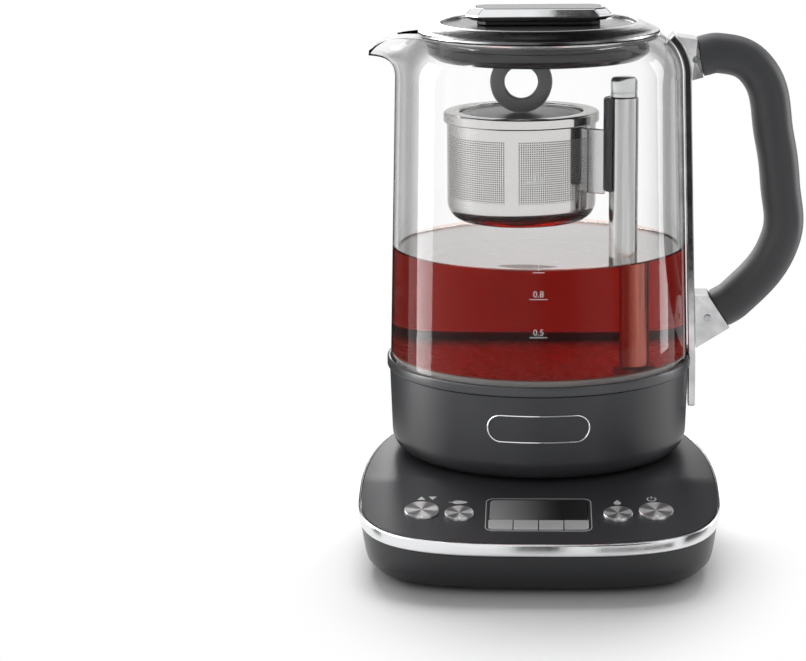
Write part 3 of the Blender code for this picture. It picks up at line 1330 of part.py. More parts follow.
def make_lift(parent):
    """Sealed post on the heating floor, its cap, and the motor with the sleeve that holds it."""
    where = (POST_X, POST_Y, 0.0)
    collar_low = HEATER_TOP + CLEARANCE
    profile = [
        (POST_RADIUS, POST_TOP),
        (POST_RADIUS, collar_low + COLLAR_HEIGHT),
        (COLLAR_RADIUS, collar_low + COLLAR_HEIGHT),
        (COLLAR_RADIUS, collar_low),
        (POST_RADIUS, collar_low),
        (POST_RADIUS, POST_FOOT),
        (POST_BORE, POST_FOOT),
        (POST_BORE, POST_TOP),
    ]
    turned("lift_post", profile, brushed_steel(), parent, where, MIDDLE_STEPS)
    seat = POST_TOP + CLEARANCE
    spigot = POST_BORE - CLEARANCE
    profile = [
        (0.0, seat + CAP_HEIGHT),
        (CAP_RADIUS - CAP_ROUNDING, seat + CAP_HEIGHT),
        (CAP_RADIUS, seat + CAP_HEIGHT - CAP_ROUNDING),
        (CAP_RADIUS, seat),
        (spigot, seat),
        (spigot, POST_TOP - CAP_SPIGOT),
        (0.0, POST_TOP - CAP_SPIGOT),
    ]
    turned("lift_post_cap", profile, bright_steel(), parent, where, MIDDLE_STEPS)

    sleeve_bore = MOTOR_RADIUS + CLEARANCE
    sleeve_top = HEATER_LOW - CLEARANCE
    profile = [
        (sleeve_bore, sleeve_top),
        (sleeve_bore + SLEEVE_WALL + SLEEVE_FLANGE, sleeve_top),
        (sleeve_bore + SLEEVE_WALL + SLEEVE_FLANGE, sleeve_top - SLEEVE_FLANGE_THICKNESS),
        (sleeve_bore + SLEEVE_WALL, sleeve_top - SLEEVE_FLANGE_THICKNESS),
        (sleeve_bore + SLEEVE_WALL, MOTOR_LOW),
        (sleeve_bore, MOTOR_LOW),
    ]
    turned("motor_sleeve", profile, black_plastic(), parent, where, MIDDLE_STEPS)
    rod("lift_motor", MOTOR_RADIUS, MOTOR_LOW, POST_FOOT - CLEARANCE, brushed_steel(), parent, where,
        MIDDLE_STEPS)

    screw_low = POST_FOOT
    profile = [
        (0.0, NUT_TOP),
        (SCREW_RADIUS, NUT_TOP),
        (SCREW_RADIUS, screw_low + SCREW_SOCKET_LENGTH),
        (SCREW_SOCKET_RADIUS, screw_low + SCREW_SOCKET_LENGTH),
        (SCREW_SOCKET_RADIUS, screw_low),
        (0.0, screw_low),
    ]
    turned("lead_screw", profile, bright_steel(), parent, where, SMALL_STEPS)
    make_carriage(parent, where)


def make_carriage(parent, where):
    """Nut on the lead screw with its ring magnets, level with the slider outside the post."""
    high = (SLIDER_LOW + POST_TOP + NUT_LENGTH) / 2
    flange = POST_BORE - CLEARANCE
    bore = SCREW_RADIUS + CLEARANCE
    profile = [(bore, high)]
    pitch = NUT_LENGTH / MAGNET_COUNT
    for index in range(MAGNET_COUNT):
        top = high - pitch * index
        profile += [(flange, top), (flange, top - pitch + NUT_FLANGE_THICKNESS),
                    (NUT_RADIUS, top - pitch + NUT_FLANGE_THICKNESS), (NUT_RADIUS, top - pitch)]
    profile[-2:] = [(flange, high - NUT_LENGTH)]
    profile.append((bore, high - NUT_LENGTH))
    turned("magnet_carriage", profile, brass(), parent, where, SMALL_STEPS)


def make_basket(parent):
    """Basket cup with its rolled rim, the web that carries it and the slider round the post."""
    where = (BASKET_X, BASKET_Y, 0.0)
    inner = BASKET_RADIUS - BASKET_WALL
    seat = BASKET_LID_LOW - CLEARANCE
    ledge = BASKET_LID_RADIUS - BASKET_LEDGE
    lid_bore = BASKET_LID_RADIUS + CLEARANCE
    corner_centre = (BASKET_RADIUS - BASKET_CORNER, BASKET_FLOOR + BASKET_CORNER)
    profile = [
        (lid_bore, BASKET_RIM_TOP),
        (lid_bore + BASKET_RIM_EDGE, BASKET_RIM_TOP),
        (BASKET_RIM_RADIUS, BASKET_RIM_TOP - BASKET_RIM_EDGE * 2),
        (BASKET_RIM_RADIUS, BASKET_TOP + BASKET_RIM_EDGE),
        (BASKET_RADIUS, BASKET_TOP),
    ]
    profile += arc(corner_centre, BASKET_CORNER, 0, -90, 4)
    profile += [(0.0, BASKET_FLOOR), (0.0, BASKET_FLOOR + BASKET_WALL)]
    profile += arc(corner_centre, BASKET_CORNER - BASKET_WALL, -90, 0, 4)
    profile += [(inner, seat - BASKET_LEDGE_THICKNESS), (ledge, seat - BASKET_LEDGE_THICKNESS), (ledge, seat),
                (lid_bore, seat)]
    start = profile.index((0.0, BASKET_FLOOR))
    profile = profile[start + 1:] + profile[:start + 1]
    turned("basket_cup", profile, brushed_steel(), parent, where, MIDDLE_STEPS)

    lid = rod("basket_lid", BASKET_LID_RADIUS, BASKET_LID_LOW, BASKET_LID_TOP, black_plastic(), parent, where,
              MIDDLE_STEPS)
    ring_low = BASKET_LID_TOP + CLEARANCE
    ring = ring_solid("basket_lid_ring", RING_RADIUS, RING_THICKNESS, parent)
    ring.data.materials.append(graphite())
    combine(ring, ring_solid("ring_hole", RING_HOLE_RADIUS, RING_THICKNESS + OVERRUN, parent))
    side = RING_RADIUS * 2
    combine(ring, block("ring_foot_cut", (side, side, side), None, parent,
                        (BASKET_X, BASKET_Y, ring_low - RING_RADIUS)))

    radial = empty("web_direction", parent, where)
    radial.rotation_euler.z = POST_ANGLE
    slider_outer = POST_RADIUS + CLEARANCE + SLIDER_WALL
    web_start = BASKET_RADIUS + CLEARANCE
    web_end = POST_DISTANCE - slider_outer - CLEARANCE
    block("basket_web", (web_end - web_start, WEB_THICKNESS, WEB_TOP - WEB_LOW), brushed_steel(), radial,
          ((web_start + web_end) / 2, 0.0, (WEB_TOP + WEB_LOW) / 2))
    start = 180 - math.degrees(SLIDER_SWEEP)
    end = 180 + math.degrees(SLIDER_SWEEP)
    outer_arc = arc((0.0, 0.0), slider_outer, start, end, SLIDER_STEPS)
    inner_arc = arc((0.0, 0.0), POST_RADIUS + CLEARANCE, end, start, SLIDER_STEPS)
    flat("basket_slider", outer_arc + inner_arc, SLIDER_LOW, POST_TOP, black_plastic(), radial,
         (POST_DISTANCE, 0.0, 0.0))
    return lid


def ring_solid(name, radius, thickness, parent):
    """A disc that stands on edge across the basket's middle."""
    half = thickness / 2
    profile = [(0.0, half), (radius, half), (radius, -half), (0.0, -half)]
    disc = turned(name, profile, None, parent, (BASKET_X, BASKET_Y, RING_CENTRE_HEIGHT), RING_STEPS)
    disc.rotation_euler.x = math.radians(90)
    return disc


def lid_space(parent):
    """The lid ring's space, with the clearance that lets it lift past the handle."""
    return rod("lid_ring_space", LID_RING_RADIUS + CLEARANCE * 2, LID_RING_LOW - CLEARANCE * 2,
               LID_RING_TOP + OVERRUN, None, parent, steps=WIDE_STEPS)


def make_lid(parent):
    """Lid: a bright ring over a dark disc, the hollow skirt with its gasket, and the knob."""
    ledge = LID_RING_INNER - LID_RING_LEDGE
    ledge_top = LID_RING_LOW + LID_RING_LEDGE_THICKNESS
    crown = (LID_RING_RADIUS - LID_RING_INNER) / 2
    profile = [
        (LID_RING_INNER, LID_RING_TOP),
        (LID_RING_INNER + LID_RING_EDGE, LID_RING_TOP),
        (LID_RING_INNER + crown, LID_RING_TOP - (LID_RING_TOP - LID_RING_LOW) * LID_CROWN_SHARE),
        (LID_RING_RADIUS - LID_RING_EDGE, LID_RING_LOW + LID_RING_EDGE * 2),
        (LID_RING_RADIUS, LID_RING_LOW + LID_RING_EDGE),
        (LID_RING_RADIUS, LID_RING_LOW),
        (ledge, LID_RING_LOW),
        (ledge, ledge_top),
        (LID_RING_INNER, ledge_top),
    ]
    turned("lid_ring", profile, bright_steel(), parent)
    rod("lid_disc", LID_RING_INNER - CLEARANCE, LID_DISC_LOW, LID_DISC_TOP, black_plastic(), parent,
        steps=WIDE_STEPS)

    plug_top = LID_RING_LOW - CLEARANCE
    inner = LID_PLUG_RADIUS - LID_PLUG_WALL
    profile = [
        (LID_PLUG_RADIUS, plug_top),
        (LID_PLUG_RADIUS, LID_PLUG_LOW + LID_PLUG_TAPER_HEIGHT),
        (LID_PLUG_RADIUS - LID_PLUG_TAPER, LID_PLUG_LOW),
        (inner - LID_PLUG_TAPER, LID_PLUG_LOW + LID_PLUG_WALL / 2),
        (inner, LID_PLUG_LOW + LID_PLUG_TAPER_HEIGHT + LID_PLUG_WALL / 2),
        (inner, plug_top),
    ]
    turned("lid_plug", profile, black_plastic(), parent)
    gasket_top = plug_top - LID_GASKET_DROP
    gasket_inner = LID_PLUG_RADIUS + CLEARANCE
    profile = [
        (gasket_inner, gasket_top),
        (gasket_inner + LID_GASKET_WIDTH, gasket_top),
        (gasket_inner + LID_GASKET_WIDTH, gasket_top - LID_GASKET_HEIGHT),
        (gasket_inner, gasket_top - LID_GASKET_HEIGHT),
    ]
    turned("lid_gasket", profile, silicone(), parent)

    knob_low = KNOB_TOP - KNOB_HEIGHT
    neck_low = LID_DISC_TOP + CLEARANCE
    neck_levels = (neck_low, knob_low - CLEARANCE)
    neck = [knob_ring(NECK_HALF_LENGTH, NECK_HALF_WIDTH, height) for height in neck_levels]
    loft("knob_neck", neck, black_plastic(), parent)
    rings = []
    for up_share, size_share in KNOB_LEVEL_SHARES:
        rings.append(knob_ring(KNOB_HALF_LENGTH * size_share, KNOB_HALF_WIDTH * size_share,
                               knob_low + KNOB_HEIGHT * up_share))
    knob = loft("lid_knob", rings, bright_steel(), parent)
    top_share = KNOB_LEVEL_SHARES[-1][1]
    half_length = KNOB_HALF_LENGTH * top_share - KNOB_INLAY_MARGIN
    half_width = KNOB_HALF_WIDTH * top_share - KNOB_INLAY_MARGIN
    recess_low = KNOB_TOP - KNOB_INLAY_DEPTH
    recess = [knob_ring(half_length, half_width, height) for height in (recess_low, KNOB_TOP + OVERRUN)]
    combine(knob, loft("knob_recess", recess, None, parent))
    inlay = [knob_ring(half_length - CLEARANCE, half_width - CLEARANCE, height)
             for height in (recess_low + CLEARANCE, KNOB_TOP)]
    loft("knob_inlay", inlay, black_plastic(), parent)


def knob_ring(half_length, half_width, height):
    """A long eight-sided ring, the plan of the knob."""
    corner = half_width * KNOB_CORNER_SHARE
    quarter = [(half_length, half_width - corner), (half_length - corner, half_width)]
    outline = quarter + [(-x, y) for x, y in reversed(quarter)]
    outline += [(x, -y) for x, y in reversed(outline)]
    return [(x, y, height) for x, y in outline]


def main():
    clear_scene()
    middle_y = -(BASE_REAR + BASE_FRONT) / 2
    origin = empty("tea_maker_axis", None, (0.0, middle_y, 0.0))
    panel = empty("panel_frame", origin, (0.0, -PANEL_LINE_SETBACK, plate_height(-PANEL_LINE_SETBACK)),
                  PANEL_SLOPE)
    angles = outline_angles()
    make_base_plate(origin, panel, angles)
    make_trim_band(origin, angles)
    make_lower_shell(origin, angles)
    make_feet(origin)
    make_base_screws(origin)
    make_cord_gland(origin)
    make_base_connector(origin)
    make_power_board(origin)
    make_round_buttons(panel)
    make_keys(panel)
    make_display(panel)
    make_control_board(panel)

    clear_outer = CLEARANCE + STRAP_THICKNESS + CLEARANCE
    channel_width = STRAP_WIDTH + CLEARANCE * 2
    channel = strap_solid("strap_channel", 0.0, clear_outer, channel_width, None, origin, CLEARANCE)
    make_housing(origin, channel)
    make_rim_ring(origin, channel)
    make_bottom_cover(origin)
    make_jug_connector(origin)
    make_heating_floor(origin)
    make_glass(origin)
    make_badge(origin)
    grip = make_handle(origin)
    reach = max(vertex.co.x for vertex in grip.data.vertices)
    origin.location.x = (BAND_OUTER - reach) / 2
    make_brackets(origin)
    make_lift(origin)
    make_basket(origin)
    make_lid(origin)


main()
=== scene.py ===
import math

import bmesh
import bpy
from mathutils import Matrix, Vector
from mathutils.geometry import interpolate_bezier


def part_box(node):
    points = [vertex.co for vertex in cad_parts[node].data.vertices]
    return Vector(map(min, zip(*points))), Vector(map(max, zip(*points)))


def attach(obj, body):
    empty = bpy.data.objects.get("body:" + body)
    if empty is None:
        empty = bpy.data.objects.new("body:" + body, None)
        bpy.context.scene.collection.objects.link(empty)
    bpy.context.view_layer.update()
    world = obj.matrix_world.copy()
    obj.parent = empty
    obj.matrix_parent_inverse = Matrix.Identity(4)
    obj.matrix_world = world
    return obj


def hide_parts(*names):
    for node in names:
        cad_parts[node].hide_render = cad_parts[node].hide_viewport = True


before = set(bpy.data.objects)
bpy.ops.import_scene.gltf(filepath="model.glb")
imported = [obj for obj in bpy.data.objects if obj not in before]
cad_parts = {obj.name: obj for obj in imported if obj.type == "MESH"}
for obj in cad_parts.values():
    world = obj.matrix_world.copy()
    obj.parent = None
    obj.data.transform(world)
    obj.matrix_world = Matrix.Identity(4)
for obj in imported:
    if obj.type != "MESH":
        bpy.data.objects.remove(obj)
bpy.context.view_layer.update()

# Camera. It stands in front of the maker, a little above the lid, and looks down at the jug with a
# long lens, so that the uprights stay nearly parallel.
SOCKET_LOW, SOCKET_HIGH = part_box("jug_connector")
AXIS_X = (SOCKET_LOW.x + SOCKET_HIGH.x) / 2
AXIS_Y = (SOCKET_LOW.y + SOCKET_HIGH.y) / 2
CAMERA_DISTANCE = 1.25
CAMERA_HEIGHT = 0.373
CAMERA_TURN = math.radians(-3.062)
CAMERA_PITCH = math.radians(-12.481)
CAMERA_ROLL = math.radians(-0.662)
CAMERA_LENS = 115.88

sight = Vector((math.sin(CAMERA_TURN) * math.cos(CAMERA_PITCH),
                math.cos(CAMERA_TURN) * math.cos(CAMERA_PITCH), math.sin(CAMERA_PITCH)))
level_right = Vector((math.cos(CAMERA_TURN), -math.sin(CAMERA_TURN), 0.0))
level_up = level_right.cross(sight)
right = level_right * math.cos(CAMERA_ROLL) + level_up * math.sin(CAMERA_ROLL)
up = level_up * math.cos(CAMERA_ROLL) - level_right * math.sin(CAMERA_ROLL)
lens = bpy.data.cameras.new("front_view")
lens.sensor_width = 36.0
lens.sensor_fit = "HORIZONTAL"
lens.lens = CAMERA_LENS
lens.clip_start = 0.05
camera = bpy.data.objects.new("front_view", lens)
bpy.context.scene.collection.objects.link(camera)
camera.matrix_world = Matrix((
    (right.x, up.x, -sight.x, AXIS_X),
    (right.y, up.y, -sight.y, AXIS_Y - CAMERA_DISTANCE),
    (right.z, up.z, -sight.z, CAMERA_HEIGHT),
    (0.0, 0.0, 0.0, 1.0),
))
bpy.context.scene.camera = camera
bpy.context.scene.view_settings.view_transform = "Standard"

# Lower shell of the power base. It is moulded in dark satin plastic as an open bowl that tucks in
# towards the table; two screws from below pull the top plate's bosses down on it.
GAP = 0.0003
BASE_HALF_WIDTH = 0.083
FRONT_LENGTH = 0.0548
REAR_LENGTH = 0.155
WIDEST_SETBACK = 0.075
FRONT_SQUARENESS = 3.25
REAR_SQUARENESS = 2.6
PLAN_POINTS = 240
PLATE_LEVEL = 0.038
PANEL_SLOPE = math.radians(10)
CREASE_SETBACK = 0.0637
CREASE_RADIUS = 0.06
BAND_HEIGHT = 0.006
SHELL_WALL = 0.0022
SHELL_LEVELS = ((0.0022, 0.0105), (0.0052, 0.0058), (0.0085, 0.0028), (0.0125, 0.0012))
FOOT_PLACES = ((-0.05, -0.098), (0.05, -0.098), (-0.042, 0.032), (0.042, 0.032))
FOOT_RADIUS = 0.008
BASE_SCREW_PLACES = ((-0.054, 0.008), (0.054, 0.008))
GLAND_HEIGHT = 0.0155


def plan_point(angle, outset):
    """A point of the base's plan: two unlike superellipse halves."""
    back = math.sin(angle) >= 0
    squareness = REAR_SQUARENESS if back else FRONT_SQUARENESS
    length = REAR_LENGTH if back else FRONT_LENGTH
    across = math.copysign(abs(math.cos(angle)) ** (2 / squareness), math.cos(angle))
    along = math.copysign(abs(math.sin(angle)) ** (2 / squareness), math.sin(angle))
    return across * (BASE_HALF_WIDTH + outset), along * (length + outset) - WIDEST_SETBACK


def even_angles():
    """Angles that space the plan's points evenly along its edge."""
    fine = [math.tau * step / (PLAN_POINTS * 12) for step in range(PLAN_POINTS * 12 + 1)]
    places = [Vector(plan_point(angle, 0.0)) for angle in fine]
    run = [0.0]
    for start, end in zip(places, places[1:]):
        run.append(run[-1] + (end - start).length)
    angles, entry = [], 0
    for index in range(PLAN_POINTS):
        while run[entry] < run[-1] * index / PLAN_POINTS:
            entry += 1
        angles.append(fine[entry])
    return angles


PLAN_ANGLES = even_angles()


def plate_height(y):
    """Height of the top plate: level under the jug, then falling forwards as the panel."""
    tangent = CREASE_RADIUS * math.tan(PANEL_SLOPE / 2)
    start = tangent - CREASE_SETBACK
    if y >= start:
        return PLATE_LEVEL
    if y <= -CREASE_SETBACK - tangent * math.cos(PANEL_SLOPE):
        return PLATE_LEVEL + (y + CREASE_SETBACK) * math.tan(PANEL_SLOPE)
    return PLATE_LEVEL - CREASE_RADIUS + math.sqrt(CREASE_RADIUS ** 2 - (start - y) ** 2)


def make(name, shape, finish, where=(0.0, 0.0, 0.0), smooth=32):
    """A mesh object from a bmesh, placed from the jug's axis; edges sharper than smooth stay crisp."""
    bmesh.ops.recalc_face_normals(shape, faces=shape.faces)
    if shape.calc_volume(signed=True) < 0.0:
        bmesh.ops.reverse_faces(shape, faces=shape.faces)
    mesh = bpy.data.meshes.new(name)
    shape.to_mesh(mesh)
    shape.free()
    piece = bpy.data.objects.new(name, mesh)
    bpy.context.scene.collection.objects.link(piece)
    piece.location = (AXIS_X + where[0], AXIS_Y + where[1], where[2])
    if finish is not None:
        mesh.materials.append(finish)
    shade(piece, smooth)
    return piece


def shade(piece, smooth):
    """Smooth shading, split at edges sharper than an angle in degrees."""
    piece.data.shade_smooth()
    piece.data.set_sharp_from_angle(angle=math.radians(smooth))


def skin(name, rings, finish, where=(0.0, 0.0, 0.0), capped=(True, True), joined=False, smooth=32):
    """Skin over a row of like rings, closed at its ends or joined end to end."""
    shape = bmesh.new()
    rows = [[shape.verts.new(point) for point in ring] for ring in rings]
    for low, high in zip(rows, rows[1:] + (rows[:1] if joined else [])):
        for index in range(len(low)):
            after = (index + 1) % len(low)
            shape.faces.new((low[index], low[after], high[after], high[index]))
    if not joined:
        for row, wanted in ((rows[0], capped[0]), (rows[-1], capped[1])):
            if wanted:
                shape.faces.new(row)
    return make(name, shape, finish, where, smooth)


def turned(name, profile, finish, where=(0.0, 0.0, 0.0), steps=128, smooth=32):
    """A profile of (radius, height) points turned about an upright axis; it may close on itself."""
    shape = bmesh.new()
    rows = []
    for radius, height in profile:
        if radius == 0.0:
            rows.append([shape.verts.new((0.0, 0.0, height))])
            continue
        rows.append([shape.verts.new((radius * math.cos(math.tau * step / steps),
                                      radius * math.sin(math.tau * step / steps), height))
                     for step in range(steps)])
    closed = profile[0][0] != 0.0
    for low, high in zip(rows, rows[1:] + (rows[:1] if closed else [])):
        for step in range(steps):
            after = (step + 1) % steps
            if len(low) == 1 and len(high) == 1:
                continue
            if len(low) == 1:
                shape.faces.new((low[0], high[after], high[step]))
            elif len(high) == 1:
                shape.faces.new((low[step], low[after], high[0]))
            else:
                shape.faces.new((low[step], low[after], high[after], high[step]))
    return make(name, shape, finish, where, smooth)


def rod(name, radius, low, high, finish=None, where=(0.0, 0.0, 0.0), steps=64):
    """A round bar, used to cut holes or as a plain pin."""
    return turned(name, [(0.0, high), (radius, high), (radius, low), (0.0, low)], finish, where, steps)


def arc(centre, radius, start, end, steps):
    """Points along an arc, from one angle in degrees to another."""
    points = []
    for step in range(steps + 1):
        angle = math.radians(start + (end - start) * step / steps)
        points.append((centre[0] + radius * math.cos(angle), centre[1] + radius * math.sin(angle)))
    return points


def settle(piece, smooth=32):
    """Bake a piece's modifiers into its mesh."""
    graph = bpy.context.evaluated_depsgraph_get()
    mesh = bpy.data.meshes.new_from_object(piece.evaluated_get(graph))
    piece.modifiers.clear()
    piece.data = mesh
    shade(piece, smooth)


def cut(piece, *tools, how="DIFFERENCE"):
    """Cut a piece by other solids, which are used up."""
    for tool in tools:
        step = piece.modifiers.new("cut", "BOOLEAN")
        step.operation = how
        step.object = tool
    bpy.context.view_layer.update()
    settle(piece)
    for tool in tools:
        bpy.data.objects.remove(tool, do_unlink=True)


def soften(piece, width, segments=3, angle=32):
    """Rounded edges that catch the light."""
    step = piece.modifiers.new("edges", "BEVEL")
    step.width = width
    step.segments = segments
    step.limit_method = "ANGLE"
    step.angle_limit = math.radians(angle)
    step.harden_normals = True


def through(points, steps):
    """A smooth line through points, as many times finer as steps says."""
    line = []
    for index in range(len(points) - 1):
        before = Vector(points[max(index - 1, 0)])
        start, end = Vector(points[index]), Vector(points[index + 1])
        after = Vector(points[min(index + 2, len(points) - 1)])
        for step in range(steps):
            t = step / steps
            line.append(tuple(0.5 * (start * 2 + (end - before) * t
                                     + (before * 2 - start * 5 + end * 4 - after) * t ** 2
                                     + (start * 3 - before - end * 3 + after) * t ** 3)))
    line.append(tuple(points[-1]))
    return line


def add(tree, kind, *sources, **settings):
    """A new node; its inputs, in order, are linked or set, and None leaves one alone."""
    node = tree.nodes.new("ShaderNode" + kind)
    for name, value in settings.items():
        setattr(node, name, value)
    for socket, source in zip(node.inputs, sources):
        if isinstance(source, bpy.types.NodeSocket):
            tree.links.new(source, socket)
        elif source is not None:
            socket.default_value = source
    return node


def worked(tree, operation, *sources):
    """A step of arithmetic between node outputs or plain numbers."""
    return add(tree, "Math", *sources, operation=operation).outputs[0]


def own_place(tree):
    """The shaded point in the piece's own space."""
    return add(tree, "TexCoord").outputs["Object"]


def ranged(tree, *limits, **settings):
    """A value moved from one range to another."""
    return add(tree, "MapRange", *limits, **settings).outputs["Result"]


def between(tree, share, first, second):
    """A colour between two, by a share; a colour is plain or linked."""
    blend = add(tree, "Mix", share, data_type="RGBA")
    for socket, colour in ((blend.inputs[6], first), (blend.inputs[7], second)):
        if isinstance(colour, bpy.types.NodeSocket):
            tree.links.new(colour, socket)
        else:
            socket.default_value = (*colour, 1.0)
    return blend.outputs[2]


def relief(tree, shader, height, strength, depth, **settings):
    """Fine relief on a surface."""
    bump = add(tree, "Bump", strength, depth, **settings)
    tree.links.new(height, bump.inputs["Height"])
    tree.links.new(bump.outputs["Normal"], shader.inputs["Normal"])


def finish_of(name, colour, roughness, metallic=0.0):
    """A new finish: its material, node tree and shader."""
    finish = bpy.data.materials.new(name)
    finish.use_nodes = True
    shader = finish.node_tree.nodes["Principled BSDF"]
    shader.inputs["Base Color"].default_value = (*colour, 1.0)
    shader.inputs["Roughness"].default_value = roughness
    shader.inputs["Metallic"].default_value = metallic
    return finish, finish.node_tree, shader


def grain(tree, shader, scale, depth, rough, stretch=(1.0, 1.0, 1.0)):
    """Fine grain: it moves the roughness between two values and lifts the surface by a depth."""
    place = add(tree, "Mapping", own_place(tree), None, None, stretch).outputs["Vector"]
    noise = add(tree, "TexNoise", place, None, scale, 3.0).outputs["Fac"]
    tree.links.new(ranged(tree, noise, 0.3, 0.7, *rough), shader.inputs["Roughness"])
    if depth:
        relief(tree, shader, noise, 0.5, depth)
    return place


def stock(name, colour, roughness, metallic, fine, drift_and_painted_reflection):
    """A finish with fine grain and a slow drift between two colours: near ones give real stock's tone, far
    ones on bare metal are painted reflections.
    """
    finish, tree, shader = finish_of(name, colour, roughness, metallic)
    scale, first, second = drift_and_painted_reflection
    noise = add(tree, "TexNoise", grain(tree, shader, *fine), None, scale, 2.0)
    tree.links.new(between(tree, noise.outputs["Fac"], first, second), shader.inputs["Base Color"])
    return finish


dark_graphite = stock("dark_graphite", (0.033, 0.034, 0.037), 0.34, 0.0, (4200.0, 0.00002, (0.29, 0.39)),
                      (35.0, (0.031, 0.032, 0.035), (0.037, 0.038, 0.041)))


SHELL_FINENESS = 6
shell_columns = []
for angle in PLAN_ANGLES:
    top = (-GAP, plate_height(plan_point(angle, GAP)[1]) - BAND_HEIGHT - GAP)
    shell_columns.append([(*plan_point(angle, -inset), height)
                          for inset, height in through((top, *SHELL_LEVELS), SHELL_FINENESS)])
shell_rings = [list(ring) for ring in zip(*shell_columns)]
lower_shell = skin("lower_shell", shell_rings, dark_graphite, capped=(False, True), smooth=40)
wall = lower_shell.modifiers.new("wall", "SOLIDIFY")
wall.thickness = SHELL_WALL
wall.offset = -1.0
settle(lower_shell, 40)
shell_tools = [rod("pocket", FOOT_RADIUS + GAP, -0.002, 0.0021, None, (x, y, 0.0)) for x, y in FOOT_PLACES]
shell_tools += [rod("recess", 0.0033, -0.002, 0.0023, None, (x, y, 0.0)) for x, y in BASE_SCREW_PLACES]
shell_tools += [rod("screw_hole", 0.0018, -0.002, 0.006, None, (x, y, 0.0)) for x, y in BASE_SCREW_PLACES]
gland_tool = rod("gland_hole", 0.0055, -0.01, 0.01, None, (0.0, 0.0788, GLAND_HEIGHT))
gland_tool.rotation_euler.x = math.radians(90)
cut(lower_shell, *shell_tools, gland_tool)
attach(lower_shell, "base")
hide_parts("base_lower_shell")

# Feet. Four pads of soft dark rubber with two moulded grip rings, pressed and glued into round
# pockets of the lower shell.
FOOT_TOP = 0.0018
rubber = stock("foot_rubber", (0.02, 0.02, 0.021), 0.8, 0.0, (2600.0, 0.00003, (0.7, 0.9)),
               (90.0, (0.018, 0.018, 0.019), (0.026, 0.026, 0.027)))
foot_profile = [(0.0, FOOT_TOP), (FOOT_RADIUS, FOOT_TOP), (FOOT_RADIUS, 0.0004),
                (FOOT_RADIUS - 0.0004, 0.0), (0.0062, 0.0), (0.0059, 0.0004), (0.0053, 0.0004),
                (0.005, 0.0), (0.0034, 0.0), (0.0031, 0.0004), (0.0025, 0.0004), (0.0022, 0.0), (0.0, 0.0)]
for (x, y), node in zip(FOOT_PLACES, ("foot_front_left", "foot_front_right", "foot_rear_left",
                                      "foot_rear_right")):
    foot = turned(node + "_pad", foot_profile, rubber, (x, y, 0.0), 72)
    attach(foot, "base")
    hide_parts(node)

# Screws under the base and under the jug. Zinc-plated self-tapping screws with a cross recess,
# driven up into bosses from below.
bright_zinc = stock("bright_zinc", (0.62, 0.63, 0.65), 0.28, 1.0, (900.0, 0.000008, (0.2, 0.36)),
                    (300.0, (0.58, 0.6, 0.62), (0.66, 0.66, 0.67)))
SCREW_SETS = (
    ("base_screw_left", "base"), ("base_screw_right", "base"), ("jug_bottom_screw_1", "jug"),
    ("jug_bottom_screw_2", "jug"), ("jug_bottom_screw_3", "jug"),
)
for node, body in SCREW_SETS:
    low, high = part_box(node)
    centre = (low + high) / 2
    head = (high.x - low.x) / 2
    thick = 0.0009
    length = high.z - low.z
    profile = [(0.0, length), (0.0009, length - 0.0002), (0.0015, length - 0.0014)]
    turns = max(int((length - 0.0024) / 0.0007), 1)
    for step in range(turns):
        height = length - 0.0014 - step * 0.0007
        profile += [(0.0015, height), (0.0012, height - 0.00035)]
    profile += [(0.0013, thick), (head, thick), (head, 0.0003), (head - 0.0005, 0.0), (0.0, 0.0)]
    screw = turned(node + "_turned", profile, bright_zinc, (centre.x - AXIS_X, centre.y - AXIS_Y, low.z),
                   48)
    recess_tools = []
    for half_x, half_y in ((0.0016, 0.0003), (0.0003, 0.0016)):
        ring = [(-half_x, -half_y), (half_x, -half_y), (half_x, half_y), (-half_x, half_y)]
        rings = [[(x, y, -0.001) for x, y in ring], [(x * 0.7, y, 0.0007) for x, y in ring]]
        recess_tools.append(skin("recess", rings, None, (centre.x - AXIS_X, centre.y - AXIS_Y, low.z)))
    cut(screw, *recess_tools)
    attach(screw, body)
    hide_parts(node)

# Cord gland. A bush of black flexible plastic, snapped into the round hole of the shell's back wall;
# its flange rests on the wall and the cord passes through its bore.
gland_low, gland_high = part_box("cord_gland")
gland_radius = (gland_high.x - gland_low.x) / 2
gland_length = gland_high.y - gland_low.y
black_satin = stock("black_satin", (0.018, 0.018, 0.02), 0.36, 0.0, (3000.0, 0.00001, (0.3, 0.42)),
                    (40.0, (0.016, 0.016, 0.018), (0.022, 0.022, 0.024)))
gland_profile = [(0.0034, gland_length - 0.0005), (0.0039, gland_length),
                 (gland_radius - 0.0006, gland_length), (gland_radius, gland_length - 0.0005),
                 (gland_radius, gland_length - 0.0014), (0.0052, gland_length - 0.0014),
                 (0.0052, gland_length - 0.0036), (0.0049, gland_length - 0.0038),
                 (0.0052, gland_length - 0.0042), (0.0052, 0.0006), (0.0046, 0.0), (0.0034, 0.0)]
gland = turned("gland_bush", gland_profile, black_satin,
               (0.0, gland_low.y - AXIS_Y, (gland_low.z + gland_high.z) / 2), 72)
gland.rotation_euler.x = math.radians(-90)
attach(gland, "base")
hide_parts("cord_gland")

